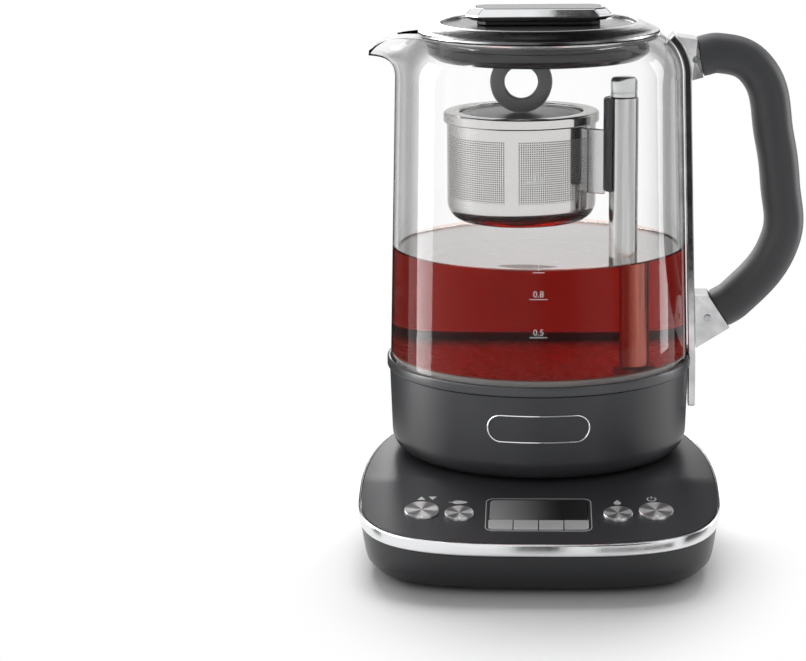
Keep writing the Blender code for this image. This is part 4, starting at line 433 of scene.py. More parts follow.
# Plug of the turning connector. A round black turret with a ring groove and a middle bore; the
# brass contact rings lie deep in both, and its flange is clamped under the top plate.
PLUG_TOP = 0.046
plug_profile = [(0.0, 0.0385), (0.003, 0.0385), (0.003, PLUG_TOP - 0.0004), (0.0034, PLUG_TOP),
                (0.0109, PLUG_TOP), (0.0112, PLUG_TOP - 0.0003), (0.0112, 0.0398), (0.0136, 0.0398),
                (0.0136, PLUG_TOP - 0.0003), (0.0139, PLUG_TOP)]
plug_profile += arc((0.0153, PLUG_TOP - 0.0012), 0.0012, 90, 0, 5)
plug_profile += [(0.0165, 0.0355), (0.022, 0.0355), (0.022, 0.0331), (0.018, 0.0331), (0.018, 0.016),
                 (0.0, 0.016)]
plug = turned("plug_turret", plug_profile, black_satin, steps=96)
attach(plug, "base")
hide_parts("base_connector")
contact_brass = stock("contact_brass", (0.72, 0.5, 0.2), 0.3, 1.0, (700.0, 0.000006, (0.22, 0.42)),
                      (250.0, (0.66, 0.45, 0.17), (0.76, 0.55, 0.24)))
contact_profile = [(0.0115, 0.0402), (0.0118, 0.0408), (0.0123, 0.0408), (0.0125, 0.0405), (0.0127, 0.0408),
                   (0.0131, 0.0408), (0.0133, 0.0402)]
contact = turned("plug_contact", contact_profile, contact_brass, steps=96)
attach(contact, "base")

# Boards inside the base. Glass-fibre boards with a green resist, copper tracks under it and matt
# black relay and switches; each is screwed to posts of the plate or shell.
board_green, tree, shader = finish_of("board_green", (0.02, 0.12, 0.055), 0.42)
bricks = add(tree, "TexBrick", own_place(tree), (0.02, 0.12, 0.055, 1.0), (0.022, 0.135, 0.06, 1.0),
             (0.07, 0.26, 0.12, 1.0), 190.0, 0.06)
tree.links.new(bricks.outputs["Color"], shader.inputs["Base Color"])
relief(tree, shader, bricks.outputs["Fac"], None, 0.00004)


def dress(node, finish):
    """Put a finish on a piece that stays as the frame made it."""
    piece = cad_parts[node]
    piece.data.materials.clear()
    piece.data.materials.append(finish)
    return piece


dress("power_board", board_green)
dress("control_board", board_green)
dress("display_module", black_satin)

# Bright band. A strip of chrome-plated metal bent round the base; the top plate lies on its inner
# ledge and its softly bulged face covers the joint to the lower shell.
BAND_OVERHANG = 0.0012
BAND_LEDGE = 0.003
PLATE_THICKNESS = 0.0022
chrome = stock("chrome_plate", (0.84, 0.845, 0.86), 0.07, 1.0, (260.0, 0.0, (0.05, 0.1)),
               (30.0, (0.82, 0.825, 0.84), (0.86, 0.862, 0.87)))
band_section = [(0.0001, 0.0002), (0.0003, 0.0)]
band_section += [(BAND_OVERHANG - 0.0007 + 0.0007 * math.sin(math.radians(step)),
                  0.0009 - 0.0009 * math.cos(math.radians(step))) for step in range(0, 91, 15)]
band_section += [(BAND_OVERHANG, BAND_HEIGHT / 2)]
band_section += [(BAND_OVERHANG - 0.0009 + 0.0009 * math.cos(math.radians(step)),
                  BAND_HEIGHT - 0.0012 + 0.0012 * math.sin(math.radians(step)))
                  for step in range(0, 91, 15)]
band_section += [(-BAND_LEDGE, BAND_HEIGHT), (-BAND_LEDGE, PLATE_THICKNESS + GAP),
                 (0.0001, PLATE_THICKNESS + GAP)]
band_rings = []
for outset, drop in band_section:
    band_rings.append([(x, y, plate_height(y) - drop) for x, y in
                       (plan_point(angle, outset) for angle in PLAN_ANGLES)])
band_steel = stock("band_steel", (0.84, 0.845, 0.86), 0.2, 1.0, (260.0, 0.000002, (0.17, 0.24)),
                   (30.0, (0.78, 0.785, 0.8), (0.86, 0.862, 0.87)))
band = skin("bright_band", band_rings, band_steel, joined=True, smooth=50)
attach(band, "base")
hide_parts("chrome_trim_band")

# Top plate. One moulding of the same satin plastic, level under the jug and bent down in front as
# the panel; holes for the plug, the round buttons, the display and the keys go through it.
satin_graphite = stock("satin_graphite", (0.045, 0.046, 0.051), 0.36, 0.0, (4200.0, 0.00002, (0.31, 0.41)),
                       (35.0, (0.042, 0.043, 0.048), (0.049, 0.05, 0.055)))
PANEL_Y = -0.098
PANEL_Z = plate_height(PANEL_Y)
ROUND_BUTTONS = (
    ("button_lift", -0.054, 0.0, 0.008), ("button_tea", -0.0365, -0.003, 0.0068),
    ("button_water", 0.0365, -0.003, 0.0068), ("button_power", 0.054, 0.0, 0.008),
)
WINDOW_HALF_LENGTH = 0.0226
WINDOW_TOP = 0.0122
WINDOW_LOW = -0.0085
WINDOW_CORNER = 0.0025
KEY_WIDTH = 0.0111
KEY_GAP = 0.0005
KEY_LENGTH = 0.0088
KEY_CORNER = 0.0026
KEY_LINE = WINDOW_LOW - GAP * 3 - KEY_GAP - KEY_LENGTH / 2


def on_panel(piece, x=0.0, y=0.0, z=0.0):
    """Set a piece on the sloping panel, at a place measured along its surface."""
    slope = Matrix.Rotation(PANEL_SLOPE, 4, "X")
    piece.matrix_world = (Matrix.Translation((AXIS_X, AXIS_Y + PANEL_Y, PANEL_Z)) @ slope
                          @ Matrix.Translation((x, y, z)))
    return piece


def rounded_box(left, right_side, low, high, corners, steps=10):
    """Outline of a rectangle with corner radii given for its four corners, from the upper right on."""
    outline = []
    for (x, y, start), radius in zip(((right_side, high, 0), (left, high, 90), (left, low, 180),
                                      (right_side, low, 270)), corners):
        if radius == 0.0:
            outline.append((x, y))
            continue
        centre_x = x - math.copysign(radius, x - (left + right_side) / 2)
        centre_y = y - math.copysign(radius, y - (low + high) / 2)
        outline += arc((centre_x, centre_y), radius, start, start + 90, steps)
    return outline


def slab(name, outline, low, high, finish=None, smooth=32):
    """A flat outline given thickness."""
    rings = [[(x, y, z) for x, y in outline] for z in (low, high)]
    return skin(name, rings, finish, smooth=smooth)


plate_outline = [plan_point(angle, -GAP) for angle in PLAN_ANGLES]
top_plate = slab("top_plate", plate_outline, 0.003, 0.045, satin_graphite)
crease = [0.082] + [-0.0578 - 0.0113 * step / 24 for step in range(25)] + [-0.133]
side_line = [(y, plate_height(y)) for y in crease]
side_line += [(y, height - PLATE_THICKNESS) for y, height in reversed(side_line)]
side_tool = skin("side_tool", [[(x, y, z) for y, z in side_line] for x in (-0.09, 0.09)], None)
cut(top_plate, side_tool, how="INTERSECT")
plate_tools = [rod("plug_hole", 0.0168, 0.03, 0.042, None, steps=96)]
for node, x, y, radius in ROUND_BUTTONS:
    plate_tools.append(on_panel(rod("button_hole", radius + GAP, -0.005, 0.003, None, steps=96), x, y))
window_hole = rounded_box(-WINDOW_HALF_LENGTH - GAP, WINDOW_HALF_LENGTH + GAP, WINDOW_LOW - GAP,
                          WINDOW_TOP + GAP, (WINDOW_CORNER + GAP,) * 4)
plate_tools.append(on_panel(slab("window_hole", window_hole, -0.005, 0.003)))
KEY_ROW_HALF = KEY_WIDTH * 2 + KEY_GAP * 1.5
key_hole = rounded_box(-KEY_ROW_HALF - GAP, KEY_ROW_HALF + GAP, KEY_LINE - KEY_LENGTH / 2 - GAP,
                       KEY_LINE + KEY_LENGTH / 2 + GAP, (0.0, 0.0, KEY_CORNER + GAP, KEY_CORNER + GAP))
plate_tools.append(on_panel(slab("key_hole", key_hole, -0.005, 0.003)))
cut(top_plate, *plate_tools)
soften(top_plate, 0.0003, 2, 50)
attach(top_plate, "base")
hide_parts("base_top_plate")

# Display window. Smoked acrylic, glued flush into its opening; a thin light line is printed round
# it and the row of keys.
smoked_acrylic_painted_sheen, tree, shader = finish_of("smoked_acrylic_painted_sheen", (0.02, 0.02, 0.022), 0.08)
shader.inputs["Coat Weight"].default_value = 0.6
shader.inputs["Coat Roughness"].default_value = 0.04
# The pane's colour is painted lighter towards its left end: a painted reflection on the glossy window.
across = add(tree, "SeparateXYZ", own_place(tree)).outputs["X"]
painted_sheen_share = ranged(tree, across, -0.024, 0.012, 1.0, 0.0, interpolation_type="SMOOTHSTEP")
tree.links.new(between(tree, painted_sheen_share, (0.02, 0.02, 0.021), (0.42, 0.425, 0.43)), shader.inputs["Base Color"])
window_outline = rounded_box(-WINDOW_HALF_LENGTH, WINDOW_HALF_LENGTH, WINDOW_LOW, WINDOW_TOP,
                             (WINDOW_CORNER,) * 4)
window = on_panel(slab("window_pane", window_outline, -0.0016, 0.0, smoked_acrylic_painted_sheen))
soften(window, 0.0002, 2, 50)
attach(window, "base")
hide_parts("display_window")

printed_white = stock("printed_white", (0.78, 0.79, 0.8), 0.45, 0.0, (5000.0, 0.000005, (0.38, 0.52)),
                      (700.0, (0.74, 0.75, 0.76), (0.82, 0.83, 0.84)))
LINE_INSET = 0.0004
LINE_WIDTH = 0.00032
line_low = KEY_LINE - KEY_LENGTH / 2 - GAP
line_half = WINDOW_HALF_LENGTH + GAP + 0.0012


def outline_strip(name, inner, outer, thickness, finish):
    """A flat printed line between two like outlines."""
    rings = [[(x, y, 0.0) for x, y in inner], [(x, y, thickness) for x, y in inner],
             [(x, y, thickness) for x, y in outer], [(x, y, 0.0) for x, y in outer]]
    return skin(name, rings, finish, joined=True)


line_inner = rounded_box(-line_half, line_half, line_low - LINE_INSET, WINDOW_TOP + GAP + 0.0008,
                         (0.0034, 0.0034, 0.0038, 0.0038))
line_outer = rounded_box(-line_half - LINE_WIDTH, line_half + LINE_WIDTH,
                         line_low - LINE_INSET - LINE_WIDTH, WINDOW_TOP + GAP + 0.0008 + LINE_WIDTH,
                         (0.0037, 0.0037, 0.0041, 0.0041))
panel_line = on_panel(outline_strip("panel_line", line_inner, line_outer, 0.00006, printed_white))
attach(panel_line, "base")

# Keys. Four caps of pale silver-painted plastic with soft edges; the outer lower corners follow the
# rounded end of their opening, and each stem stands on a switch.
KEY_RISE = 0.0008
silver_paint = stock("silver_paint", (0.7, 0.705, 0.71), 0.38, 0.2, (3800.0, 0.000012, (0.32, 0.46)),
                     (160.0, (0.66, 0.665, 0.67), (0.75, 0.755, 0.76)))
for index in range(4):
    half, reach = KEY_WIDTH / 2, KEY_LENGTH / 2
    corners = (0.0, 0.0, KEY_CORNER if index == 0 else 0.0, KEY_CORNER if index == 3 else 0.0)
    key = slab(f"key_cap_{index + 1}", rounded_box(-half, half, -reach, reach, corners), -0.0031, KEY_RISE,
               silver_paint)
    lip = slab("key_lip", rounded_box(-half + 0.0013, half - 0.0013, -reach - 0.001, reach + 0.001,
                                      (0.0,) * 4),
               -0.0037, -0.0025)
    stem = rod("key_stem", 0.0022, -0.0051, -0.003)
    cut(key, lip, stem, how="UNION")
    on_panel(key, (index - 1.5) * (KEY_WIDTH + KEY_GAP), KEY_LINE)
    soften(key, 0.00035, 3, 50)
    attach(key, f"panel_key_{index + 1}")
    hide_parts(f"panel_key_{index + 1}")

# Round buttons. Turned aluminium caps with a spun face and a bright cut edge; each carries a small
# engraved notch towards the user and its sign is printed on the plate behind it.
# Number of painted highlight sectors round a cap's face, and the fineness of its turning grooves.
PAINTED_GLINT_SECTORS = 4.0
SPUN_GROOVES = 42000.0


def sweep_of(tree, place):
    """The angle round a piece's upright axis."""
    split = add(tree, "SeparateXYZ", place).outputs
    return worked(tree, "ARCTAN2", split["Y"], split["X"])


def ring_tangent(tree, shader, amount):
    """Brush lines that run round the upright axis."""
    shader.inputs["Anisotropic"].default_value = amount
    tangent = add(tree, "Tangent", direction_type="RADIAL", axis="Z")
    tree.links.new(tangent.outputs["Tangent"], shader.inputs["Tangent"])


# The caps' colour is painted in bright and dark sectors round the middle, a painted highlight for the glint
# of spun metal; the turning grooves are real relief.
spun_face_painted_glint, tree, shader = finish_of("spun_aluminium", (0.8, 0.8, 0.81), 0.3, 0.55)
ring_tangent(tree, shader, 0.75)
place = own_place(tree)
painted_glint_wave = worked(tree, "SINE", worked(tree, "MULTIPLY_ADD", sweep_of(tree, place), PAINTED_GLINT_SECTORS, 0.9))
painted_glint = ranged(tree, painted_glint_wave, -0.9, 0.9, interpolation_type="SMOOTHSTEP")
tree.links.new(between(tree, painted_glint, (0.25, 0.25, 0.26), (1.0, 1.0, 1.0)), shader.inputs["Base Color"])
from_axis = add(tree, "VectorMath", place, operation="LENGTH").outputs["Value"]
groove = worked(tree, "SINE", worked(tree, "MULTIPLY", from_axis, SPUN_GROOVES))
relief(tree, shader, groove, 0.25, 0.000006)
for node, x, y, radius in ROUND_BUTTONS:
    profile = [(0.0, 0.0011), (radius * 0.35, 0.00112), (radius * 0.7, 0.0012), (radius - 0.0007, 0.0013),
               (radius - 0.0005, 0.0014), (radius - 0.0002, 0.00132), (radius, 0.001), (radius, -0.0025),
               (radius + 0.0011, -0.0025), (radius + 0.0011, -0.0037), (0.0022, -0.0037), (0.0022, -0.0051),
               (0.0, -0.0051)]
    button = turned(node + "_cap", profile, spun_face_painted_glint, steps=96)
    notch = slab("notch", rounded_box(-0.0009, 0.0009, -radius - 0.001, -radius * 0.66, (0.0,) * 4),
                 0.0006, 0.002)
    cut(button, notch)
    on_panel(button, x, y)
    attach(button, node)
    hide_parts(node)

# Signs on the panel. Plain pictures screen-printed in white behind each round button: two arrows, a
# leaf, a drop and the power sign.
SIGN_THICKNESS = 0.00005


def sign(name, outlines, x, y):
    """Flat printed shapes at a place on the panel."""
    shape = bmesh.new()
    for outline in outlines:
        rows = [[shape.verts.new((px, py, pz)) for px, py in outline] for pz in (0.0, SIGN_THICKNESS)]
        for row in rows:
            shape.faces.new(row)
        for index in range(len(outline)):
            after = (index + 1) % len(outline)
            shape.faces.new((rows[0][index], rows[0][after], rows[1][after], rows[1][index]))
    piece = on_panel(make(name, shape, printed_white), x, y)
    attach(piece, "base")


arrow_up = [(-0.0045, -0.0015), (-0.0007, -0.0015), (-0.0026, 0.0019)]
arrow_down = [(0.0007, 0.0019), (0.0045, 0.0019), (0.0026, -0.0015)]
sign("sign_arrows", (arrow_up, arrow_down), -0.052, 0.0136)
leaf = [(0.0035 * math.cos(math.tau * step / 24), 0.0017 * math.sin(math.tau * step / 24)
         * (1 - 0.35 * math.cos(math.tau * step / 24))) for step in range(24)]
stalk = [(-0.0052, -0.00025), (-0.0035, -0.00025), (-0.0035, 0.00025), (-0.0052, 0.00025)]
sign("sign_leaf", (leaf, stalk), -0.0365, 0.0096)
drop = [(0.0017 * math.sin(angle), -0.0004 - 0.0017 * math.cos(angle)) for angle in
        [math.radians(-125 + 250 * step / 20) for step in range(21)]] + [(0.0, 0.0027)]
sign("sign_drop", (drop,), 0.0365, 0.0098)
power_arc = arc((0.0, 0.0), 0.0023, 125, 415, 28) + arc((0.0, 0.0), 0.0017, 415, 125, 28)
power_bar = [(-0.0003, 0.0005), (0.0003, 0.0005), (0.0003, 0.0027), (-0.0003, 0.0027)]
sign("sign_power", (power_arc, power_bar), 0.0525, 0.0136)

# Socket of the turning connector. A black disc with a deep round bore that goes over the plug; its
# middle pin and ring are the brass-tipped contacts, so the jug may stand at any turn.
JUG_BOTTOM = PLATE_LEVEL + GAP
SOCKET_LOW_FACE = JUG_BOTTOM + GAP
SOCKET_CEILING = PLUG_TOP + GAP * 2
socket_profile = [(0.0, 0.058), (0.0217, 0.058), (0.0225, 0.0572), (0.0225, SOCKET_LOW_FACE + 0.0022),
                  (0.0245, SOCKET_LOW_FACE + 0.0022), (0.0245, SOCKET_LOW_FACE + 0.0003),
                  (0.0242, SOCKET_LOW_FACE), (0.0178, SOCKET_LOW_FACE), (0.0171, SOCKET_LOW_FACE + 0.0007),
                  (0.0171, SOCKET_CEILING), (0.013, SOCKET_CEILING), (0.013, SOCKET_CEILING - 0.0046),
                  (0.0126, SOCKET_CEILING - 0.005), (0.0122, SOCKET_CEILING - 0.005),
                  (0.0118, SOCKET_CEILING - 0.0046), (0.0118, SOCKET_CEILING), (0.0022, SOCKET_CEILING),
                  (0.0022, SOCKET_CEILING - 0.0058), (0.0016, SOCKET_CEILING - 0.0064),
                  (0.0, SOCKET_CEILING - 0.0064)]
socket = turned("socket_disc", socket_profile, black_satin, steps=96)
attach(socket, "jug_socket")
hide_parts("jug_connector")

# Bottom cover of the jug. A flat ring of graphite plastic, screwed from below to the housing's shelf
# round the socket.
COVER_RADIUS = 0.0567
COVER_TOP = JUG_BOTTOM + 0.0025
cover_inner = 0.0245 + GAP
cover_profile = [(cover_inner, COVER_TOP), (COVER_RADIUS, COVER_TOP),
                 (COVER_RADIUS, SOCKET_LOW_FACE + 0.0003), (COVER_RADIUS - 0.0003, SOCKET_LOW_FACE),
                 (0.047, SOCKET_LOW_FACE), (0.0467, SOCKET_LOW_FACE + 0.0004),
                 (0.0457, SOCKET_LOW_FACE + 0.0004), (0.0454, SOCKET_LOW_FACE),
                 (cover_inner, SOCKET_LOW_FACE)]
cover = turned("bottom_cover", cover_profile, satin_graphite)
cover_tools = []
for node in ("jug_bottom_screw_1", "jug_bottom_screw_2", "jug_bottom_screw_3"):
    low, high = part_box(node)
    x, y = (low.x + high.x) / 2 - AXIS_X, (low.y + high.y) / 2 - AXIS_Y
    profile = [(0.0, 0.045), (0.0018, 0.045), (0.0018, low.z + 0.00155), (0.0033, low.z + 0.00155),
               (0.0033, 0.036), (0.0, 0.036)]
    cover_tools.append(turned("screw_space", profile, None, (x, y, 0.0), 48))
cut(cover, *cover_tools)
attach(cover, "jug")
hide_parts("jug_bottom_cover")

# Housing of the jug. A bowl moulded in the same satin graphite as the base, with a round lower
# corner; a slot up its side lets the handle's strap lie flush.
GLASS_RADIUS = 0.0729
HOUSING_RADIUS = 0.0734
HOUSING_LOW_RADIUS = 0.0724
HOUSING_CORNER = 0.01
HOUSING_WALL = 0.0024
HOUSING_TOP = 0.08
NECK_RADIUS = 0.0693
GLASS_LOW = 0.0834
SHOULDER_HEIGHT = 0.222
SHOULDER_RISE = 0.0235
SHOULDER_DEPTH = 0.022
SHOULDER_CENTRE = NECK_RADIUS - SHOULDER_DEPTH
SHOULDER_ANGLE = math.radians(60)
STRAP_FOOT = 0.06
STRAP_THICKNESS = 0.0034
STRAP_WIDTH = 0.018
STRAP_END_SHARE = 48 / 60


def shoulder_point(share, grown=0.0):
    """Radius and height of the glass's shoulder, or of a line that runs a little outside it."""
    angle = SHOULDER_ANGLE * share
    radius = SHOULDER_CENTRE + SHOULDER_DEPTH * math.cos(angle)
    height = SHOULDER_HEIGHT + SHOULDER_RISE * math.sin(angle)
    normal = Vector((math.cos(angle) / SHOULDER_DEPTH, math.sin(angle) / SHOULDER_RISE)).normalized()
    return radius + normal.x * grown, height + normal.y * grown


def strap_line(grown, drop=0.0):
    """Side view of a line that runs up the jug's side and over its shoulder."""
    line = [(GLASS_RADIUS + grown, STRAP_FOOT - drop), (GLASS_RADIUS + grown, GLASS_LOW)]
    line.append((NECK_RADIUS + grown, SHOULDER_HEIGHT))
    return line + [shoulder_point(STRAP_END_SHARE * step / 20, grown) for step in range(1, 21)]


def strap_bar(name, inner, outer, width, finish=None, drop=0.0):
    """A flat bar between two such lines."""
    rings = []
    for (near, low), (far, high) in zip(strap_line(inner, drop), strap_line(outer, drop)):
        rings.append([(near, -width / 2, low), (far, -width / 2, high), (far, width / 2, high),
                      (near, width / 2, low)])
    return skin(name, rings, finish)


STRAP_SPACE = GAP * 2 + STRAP_THICKNESS
corner_centre = (HOUSING_LOW_RADIUS - HOUSING_CORNER, JUG_BOTTOM + HOUSING_CORNER)
housing_profile = [(HOUSING_RADIUS - 0.0003, HOUSING_TOP), (HOUSING_RADIUS, HOUSING_TOP - 0.0003)]
housing_profile += arc(corner_centre, HOUSING_CORNER, 0, -90, 18)
housing_profile += [(0.0573, JUG_BOTTOM), (0.057, JUG_BOTTOM + 0.0003), (0.057, 0.0411), (0.0525, 0.0411),
                    (0.0525, 0.0433)]
housing_profile += arc(corner_centre, HOUSING_CORNER - HOUSING_WALL, -40, 0, 8)
housing_profile += [(HOUSING_RADIUS - HOUSING_WALL, HOUSING_TOP)]
housing = turned("housing_bowl", housing_profile, satin_graphite, steps=192)
cut(housing, strap_bar("strap_space", 0.0, STRAP_SPACE, STRAP_WIDTH + GAP * 2, None, GAP))
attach(housing, "jug")
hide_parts("jug_housing")

# Rim ring. A slightly lighter ring between housing and glass; it clamps the glass on its seal and
# its inner ledge carries the heating floor.
RIM_RADIUS = 0.0746
RIM_TOP = 0.085
RIM_LOW = HOUSING_TOP + GAP
light_graphite = stock("light_graphite", (0.075, 0.077, 0.083), 0.3, 0.0, (4200.0, 0.000012, (0.25, 0.34)),
                       (35.0, (0.072, 0.074, 0.079), (0.08, 0.082, 0.088)))
rim_profile = [(GLASS_RADIUS + GAP, RIM_TOP), (RIM_RADIUS - 0.0008, RIM_TOP)]
rim_profile += arc((RIM_RADIUS - 0.0008, RIM_TOP - 0.0008), 0.0008, 75, 0, 6)
rim_profile += arc((RIM_RADIUS - 0.0006, RIM_LOW + 0.0006), 0.0006, 0, -90, 5)
rim_profile += [(0.062, RIM_LOW), (0.062, RIM_LOW + 0.0015), (GLASS_RADIUS + GAP, RIM_LOW + 0.0015)]
rim_ring = turned("rim_clamp", rim_profile, light_graphite, steps=192)
cut(rim_ring, strap_bar("strap_space", 0.0, STRAP_SPACE, STRAP_WIDTH + GAP * 2, None, GAP))
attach(rim_ring, "jug")
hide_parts("housing_rim_ring")

# Badge outline. A thin bright wire, bent to a long oval and glued to the front of the housing; the
# field inside it is bare.
BADGE_HALF_LENGTH = 0.0243
BADGE_HALF_HEIGHT = 0.0064
BADGE_HEIGHT = 0.0645
BADGE_WIRE = 0.00042


def bent_tube(name, points, radii, sides, finish, closed=False, across=None):
    """A tube round a line of points; across gives the direction of its first radius where it matters."""
    rings = []
    count = len(points)
    for index, point in enumerate(points):
        before = points[index - 1] if closed or index else points[index]
        after = points[(index + 1) % count] if closed or index < count - 1 else points[index]
        along = (Vector(after) - Vector(before)).normalized()
        side = (across(point) if across else Vector((0.0, 1.0, 0.0)))
        first = (side - along * side.dot(along)).normalized()
        second = along.cross(first)
        rings.append([tuple(Vector(point) + first * (radii[0] * math.cos(math.tau * step / sides))
                            + second * (radii[1] * math.sin(math.tau * step / sides)))
                            for step in range(sides)])
    return skin(name, rings, finish, joined=closed, smooth=60)


badge_line = []
badge_straight = BADGE_HALF_LENGTH - BADGE_HALF_HEIGHT
for side, start in ((1, -90), (-1, 90)):
    badge_line += arc((side * badge_straight, 0.0), BADGE_HALF_HEIGHT, start, start + 180, 20)
    badge_line += [(side * badge_straight * (1 - 2 * step / 24), side * BADGE_HALF_HEIGHT)
                   for step in range(1, 24)]
badge_points = []
for along, rise in badge_line:
    height = BADGE_HEIGHT + rise
    share = (height - corner_centre[1]) / (HOUSING_TOP - corner_centre[1])
    radius = HOUSING_LOW_RADIUS + (HOUSING_RADIUS - HOUSING_LOW_RADIUS) * share + BADGE_WIRE
    angle = along / radius - math.pi / 2
    badge_points.append((radius * math.cos(angle), radius * math.sin(angle), height))
badge = bent_tube("badge_wire", badge_points, (BADGE_WIRE, BADGE_WIRE), 12, chrome, True,
                  lambda point: Vector((point[0], point[1], 0.0)))
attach(badge, "jug")
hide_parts("badge_ring")

# Heater, sensor and motor inside the housing. The heating tube is bare drawn steel, the sensor and
# the motor's sleeve are black plastic, and the motor's can is pressed steel.
# Its colour runs in long streaks between near black and bright, which are painted reflections; the fine
# draw lines are in its roughness.
drawn_steel_painted_streaks = stock("drawn_steel_painted_streaks", (0.5, 0.5, 0.5), 0.35, 1.0,
                    (500.0, 0.000004, (0.12, 0.22), (1.0, 1.0, 0.02)),
                    (330.0, (0.12, 0.115, 0.11), (0.85, 0.85, 0.85)))
dress("heating_element", drawn_steel_painted_streaks)
dress("lift_motor", drawn_steel_painted_streaks)
dress("temperature_sensor", black_satin)
dress("motor_sleeve", black_satin)

# Heating floor and its seal. A disc of brushed steel, with a hole for the post, lies on the ledge
# and is pressed to the glass through a milky silicone ring.
HEATER_LOW = 0.0821
HEATER_TOP = 0.0833
HEATER_RADIUS = 0.0667
POST_X = 0.04
POST_Y = -0.027
POST_RADIUS = 0.0068
floor_steel = stock("floor_steel", (0.78, 0.78, 0.78), 0.3, 1.0,
                    (260.0, 0.000006, (0.16, 0.3), (1.0, 14.0, 1.0)),
                    (60.0, (0.74, 0.74, 0.74), (0.82, 0.82, 0.82)))
heating_profile = [(0.0, HEATER_TOP), (HEATER_RADIUS - 0.0003, HEATER_TOP),
                   (HEATER_RADIUS, HEATER_TOP - 0.0003), (HEATER_RADIUS, HEATER_LOW), (0.0, HEATER_LOW)]
heating_floor = turned("heating_floor", heating_profile, floor_steel, steps=128)
cut(heating_floor, rod("post_hole", POST_RADIUS + GAP, 0.08, 0.085, None, (POST_X, POST_Y, 0.0)))
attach(heating_floor, "jug")
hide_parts("heating_plate")
milky_silicone = stock("milky_silicone", (0.3, 0.3, 0.29), 0.5, 0.0, (1500.0, 0.00001, (0.48, 0.64)),
                       (80.0, (0.28, 0.28, 0.27), (0.34, 0.34, 0.33)))
SEAL_INNER = HEATER_RADIUS + GAP
GLASS_INNER = GLASS_RADIUS - 0.0026
seal_profile = [(SEAL_INNER, 0.0866), (SEAL_INNER + 0.0005, 0.0871), (GLASS_INNER - 0.0009, 0.0871),
                (GLASS_INNER - 0.0006, 0.0868), (GLASS_INNER - 0.0006, 0.0831),
                (GLASS_RADIUS - GAP, 0.0831), (GLASS_RADIUS - GAP, HEATER_LOW), (SEAL_INNER, HEATER_LOW)]
seal = turned("floor_seal", seal_profile, milky_silicone, steps=128)
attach(seal, "jug")
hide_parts("glass_seal")

# Glass body. Clear heat-proof glass, blown as a slightly tapered cylinder with a round shoulder and
# a fire-polished rim; the spout is pulled out of the rim while the glass is hot.
GLASS_WALL = 0.0026
SPOUT_REACH = 0.0127
SPOUT_RISE = 0.01
SPOUT_SPREAD = math.radians(13)
SPOUT_DROP_POWER = 3.6
SPOUT_PATH = ((0.0, 0.0), (0.02, 0.3), (0.1, 0.55), (0.25, 0.76), (0.48, 0.9), (0.75, 0.97), (1.0, 1.0))
# Stops of the glass's painted edge shade: its colour darkens in bands towards grazing sight, in place of
# the dark edges that refraction gives.
CRYSTAL_PAINTED_EDGE_STOPS = ((0.0, 0.995), (0.33, 0.96), (0.45, 0.78), (0.52, 0.5), (0.59, 0.38), (0.67, 0.52),
                      (0.77, 0.78), (0.9, 0.16))


def clear_finish(name, colour, ior, painted_edge_stops):
    """A clear finish that lets the lamps' light through; its colour is painted darker towards grazing
    sight, a painted shade for dark edges.
    """
    finish, tree, shader = finish_of(name, colour, 0.0)
    shader.inputs["Transmission Weight"].default_value = 1.0
    shader.inputs["IOR"].default_value = ior
    shader.inputs["Specular Tint"].default_value = (0.15, 0.15, 0.15, 1.0)
    ramp = add(tree, "ValToRGB", add(tree, "LayerWeight").outputs["Facing"])
    for index, (spot, tone) in enumerate(painted_edge_stops):
        stop = ramp.color_ramp.elements[index] if index < 2 else ramp.color_ramp.elements.new(spot)
        stop.position = spot
        stop.color = (colour[0] * tone, colour[1] * tone, colour[2] * tone, 1.0)
    tree.links.new(ramp.outputs["Color"], shader.inputs["Base Color"])
    blend = add(tree, "MixShader", add(tree, "LightPath").outputs["Is Shadow Ray"], shader.outputs["BSDF"],
                add(tree, "BsdfTransparent").outputs["BSDF"])
    tree.links.new(blend.outputs["Shader"], tree.nodes["Material Output"].inputs["Surface"])
    return finish, tree, shader


def waviness(tree, shader, scale, depth, stretch=(1.0, 1.0, 1.0)):
    """The slow ripple of blown glass."""
    place = add(tree, "Mapping", own_place(tree), None, None, stretch).outputs["Vector"]
    relief(tree, shader, add(tree, "TexNoise", place, None, scale, 1.0).outputs["Fac"], 0.3, depth)


crystal, tree, shader = clear_finish("clear_glass", (1.0, 1.0, 1.0), 1.47, CRYSTAL_PAINTED_EDGE_STOPS)
waviness(tree, shader, 18.0, 0.0004, (1.0, 1.0, 0.5))


def glass_radius(height):
    """Outer radius of the tapered wall."""
    return GLASS_RADIUS + (NECK_RADIUS - GLASS_RADIUS) * (height - GLASS_LOW) / (SHOULDER_HEIGHT
                                                                                 - GLASS_LOW)


glass_angles = []
for step in range(160):
    angle = math.tau * step / 160
    glass_angles.append(angle)
    if abs(angle - math.pi) < SPOUT_SPREAD * 2.2:
        glass_angles.append(angle + math.tau / 320)
glass_rings = []
for step in range(6):
    height = GLASS_LOW + (SHOULDER_HEIGHT - GLASS_LOW) * step / 6
    glass_rings.append([(glass_radius(height) * math.cos(angle), glass_radius(height) * math.sin(angle),
                         height)
                        for angle in glass_angles])
spout_line = through(SPOUT_PATH, 4)
for step, (out_share, up_share) in enumerate(spout_line):
    radius, height = shoulder_point(step / (len(spout_line) - 1))
    ring = []
    for angle in glass_angles:
        pull = math.exp(-((angle - math.pi) / SPOUT_SPREAD) ** 2)
        reach = radius + (NECK_RADIUS + SPOUT_REACH * out_share - radius) * pull
        level = height + (SHOULDER_HEIGHT + SPOUT_RISE * up_share - height) * pull ** SPOUT_DROP_POWER
        ring.append((reach * math.cos(angle), reach * math.sin(angle), level))
    glass_rings.append(ring)
glass = skin("glass_jug", glass_rings, crystal, capped=(False, False), smooth=50)
wall = glass.modifiers.new("wall", "SOLIDIFY")
wall.thickness = GLASS_WALL
wall.offset = -1.0
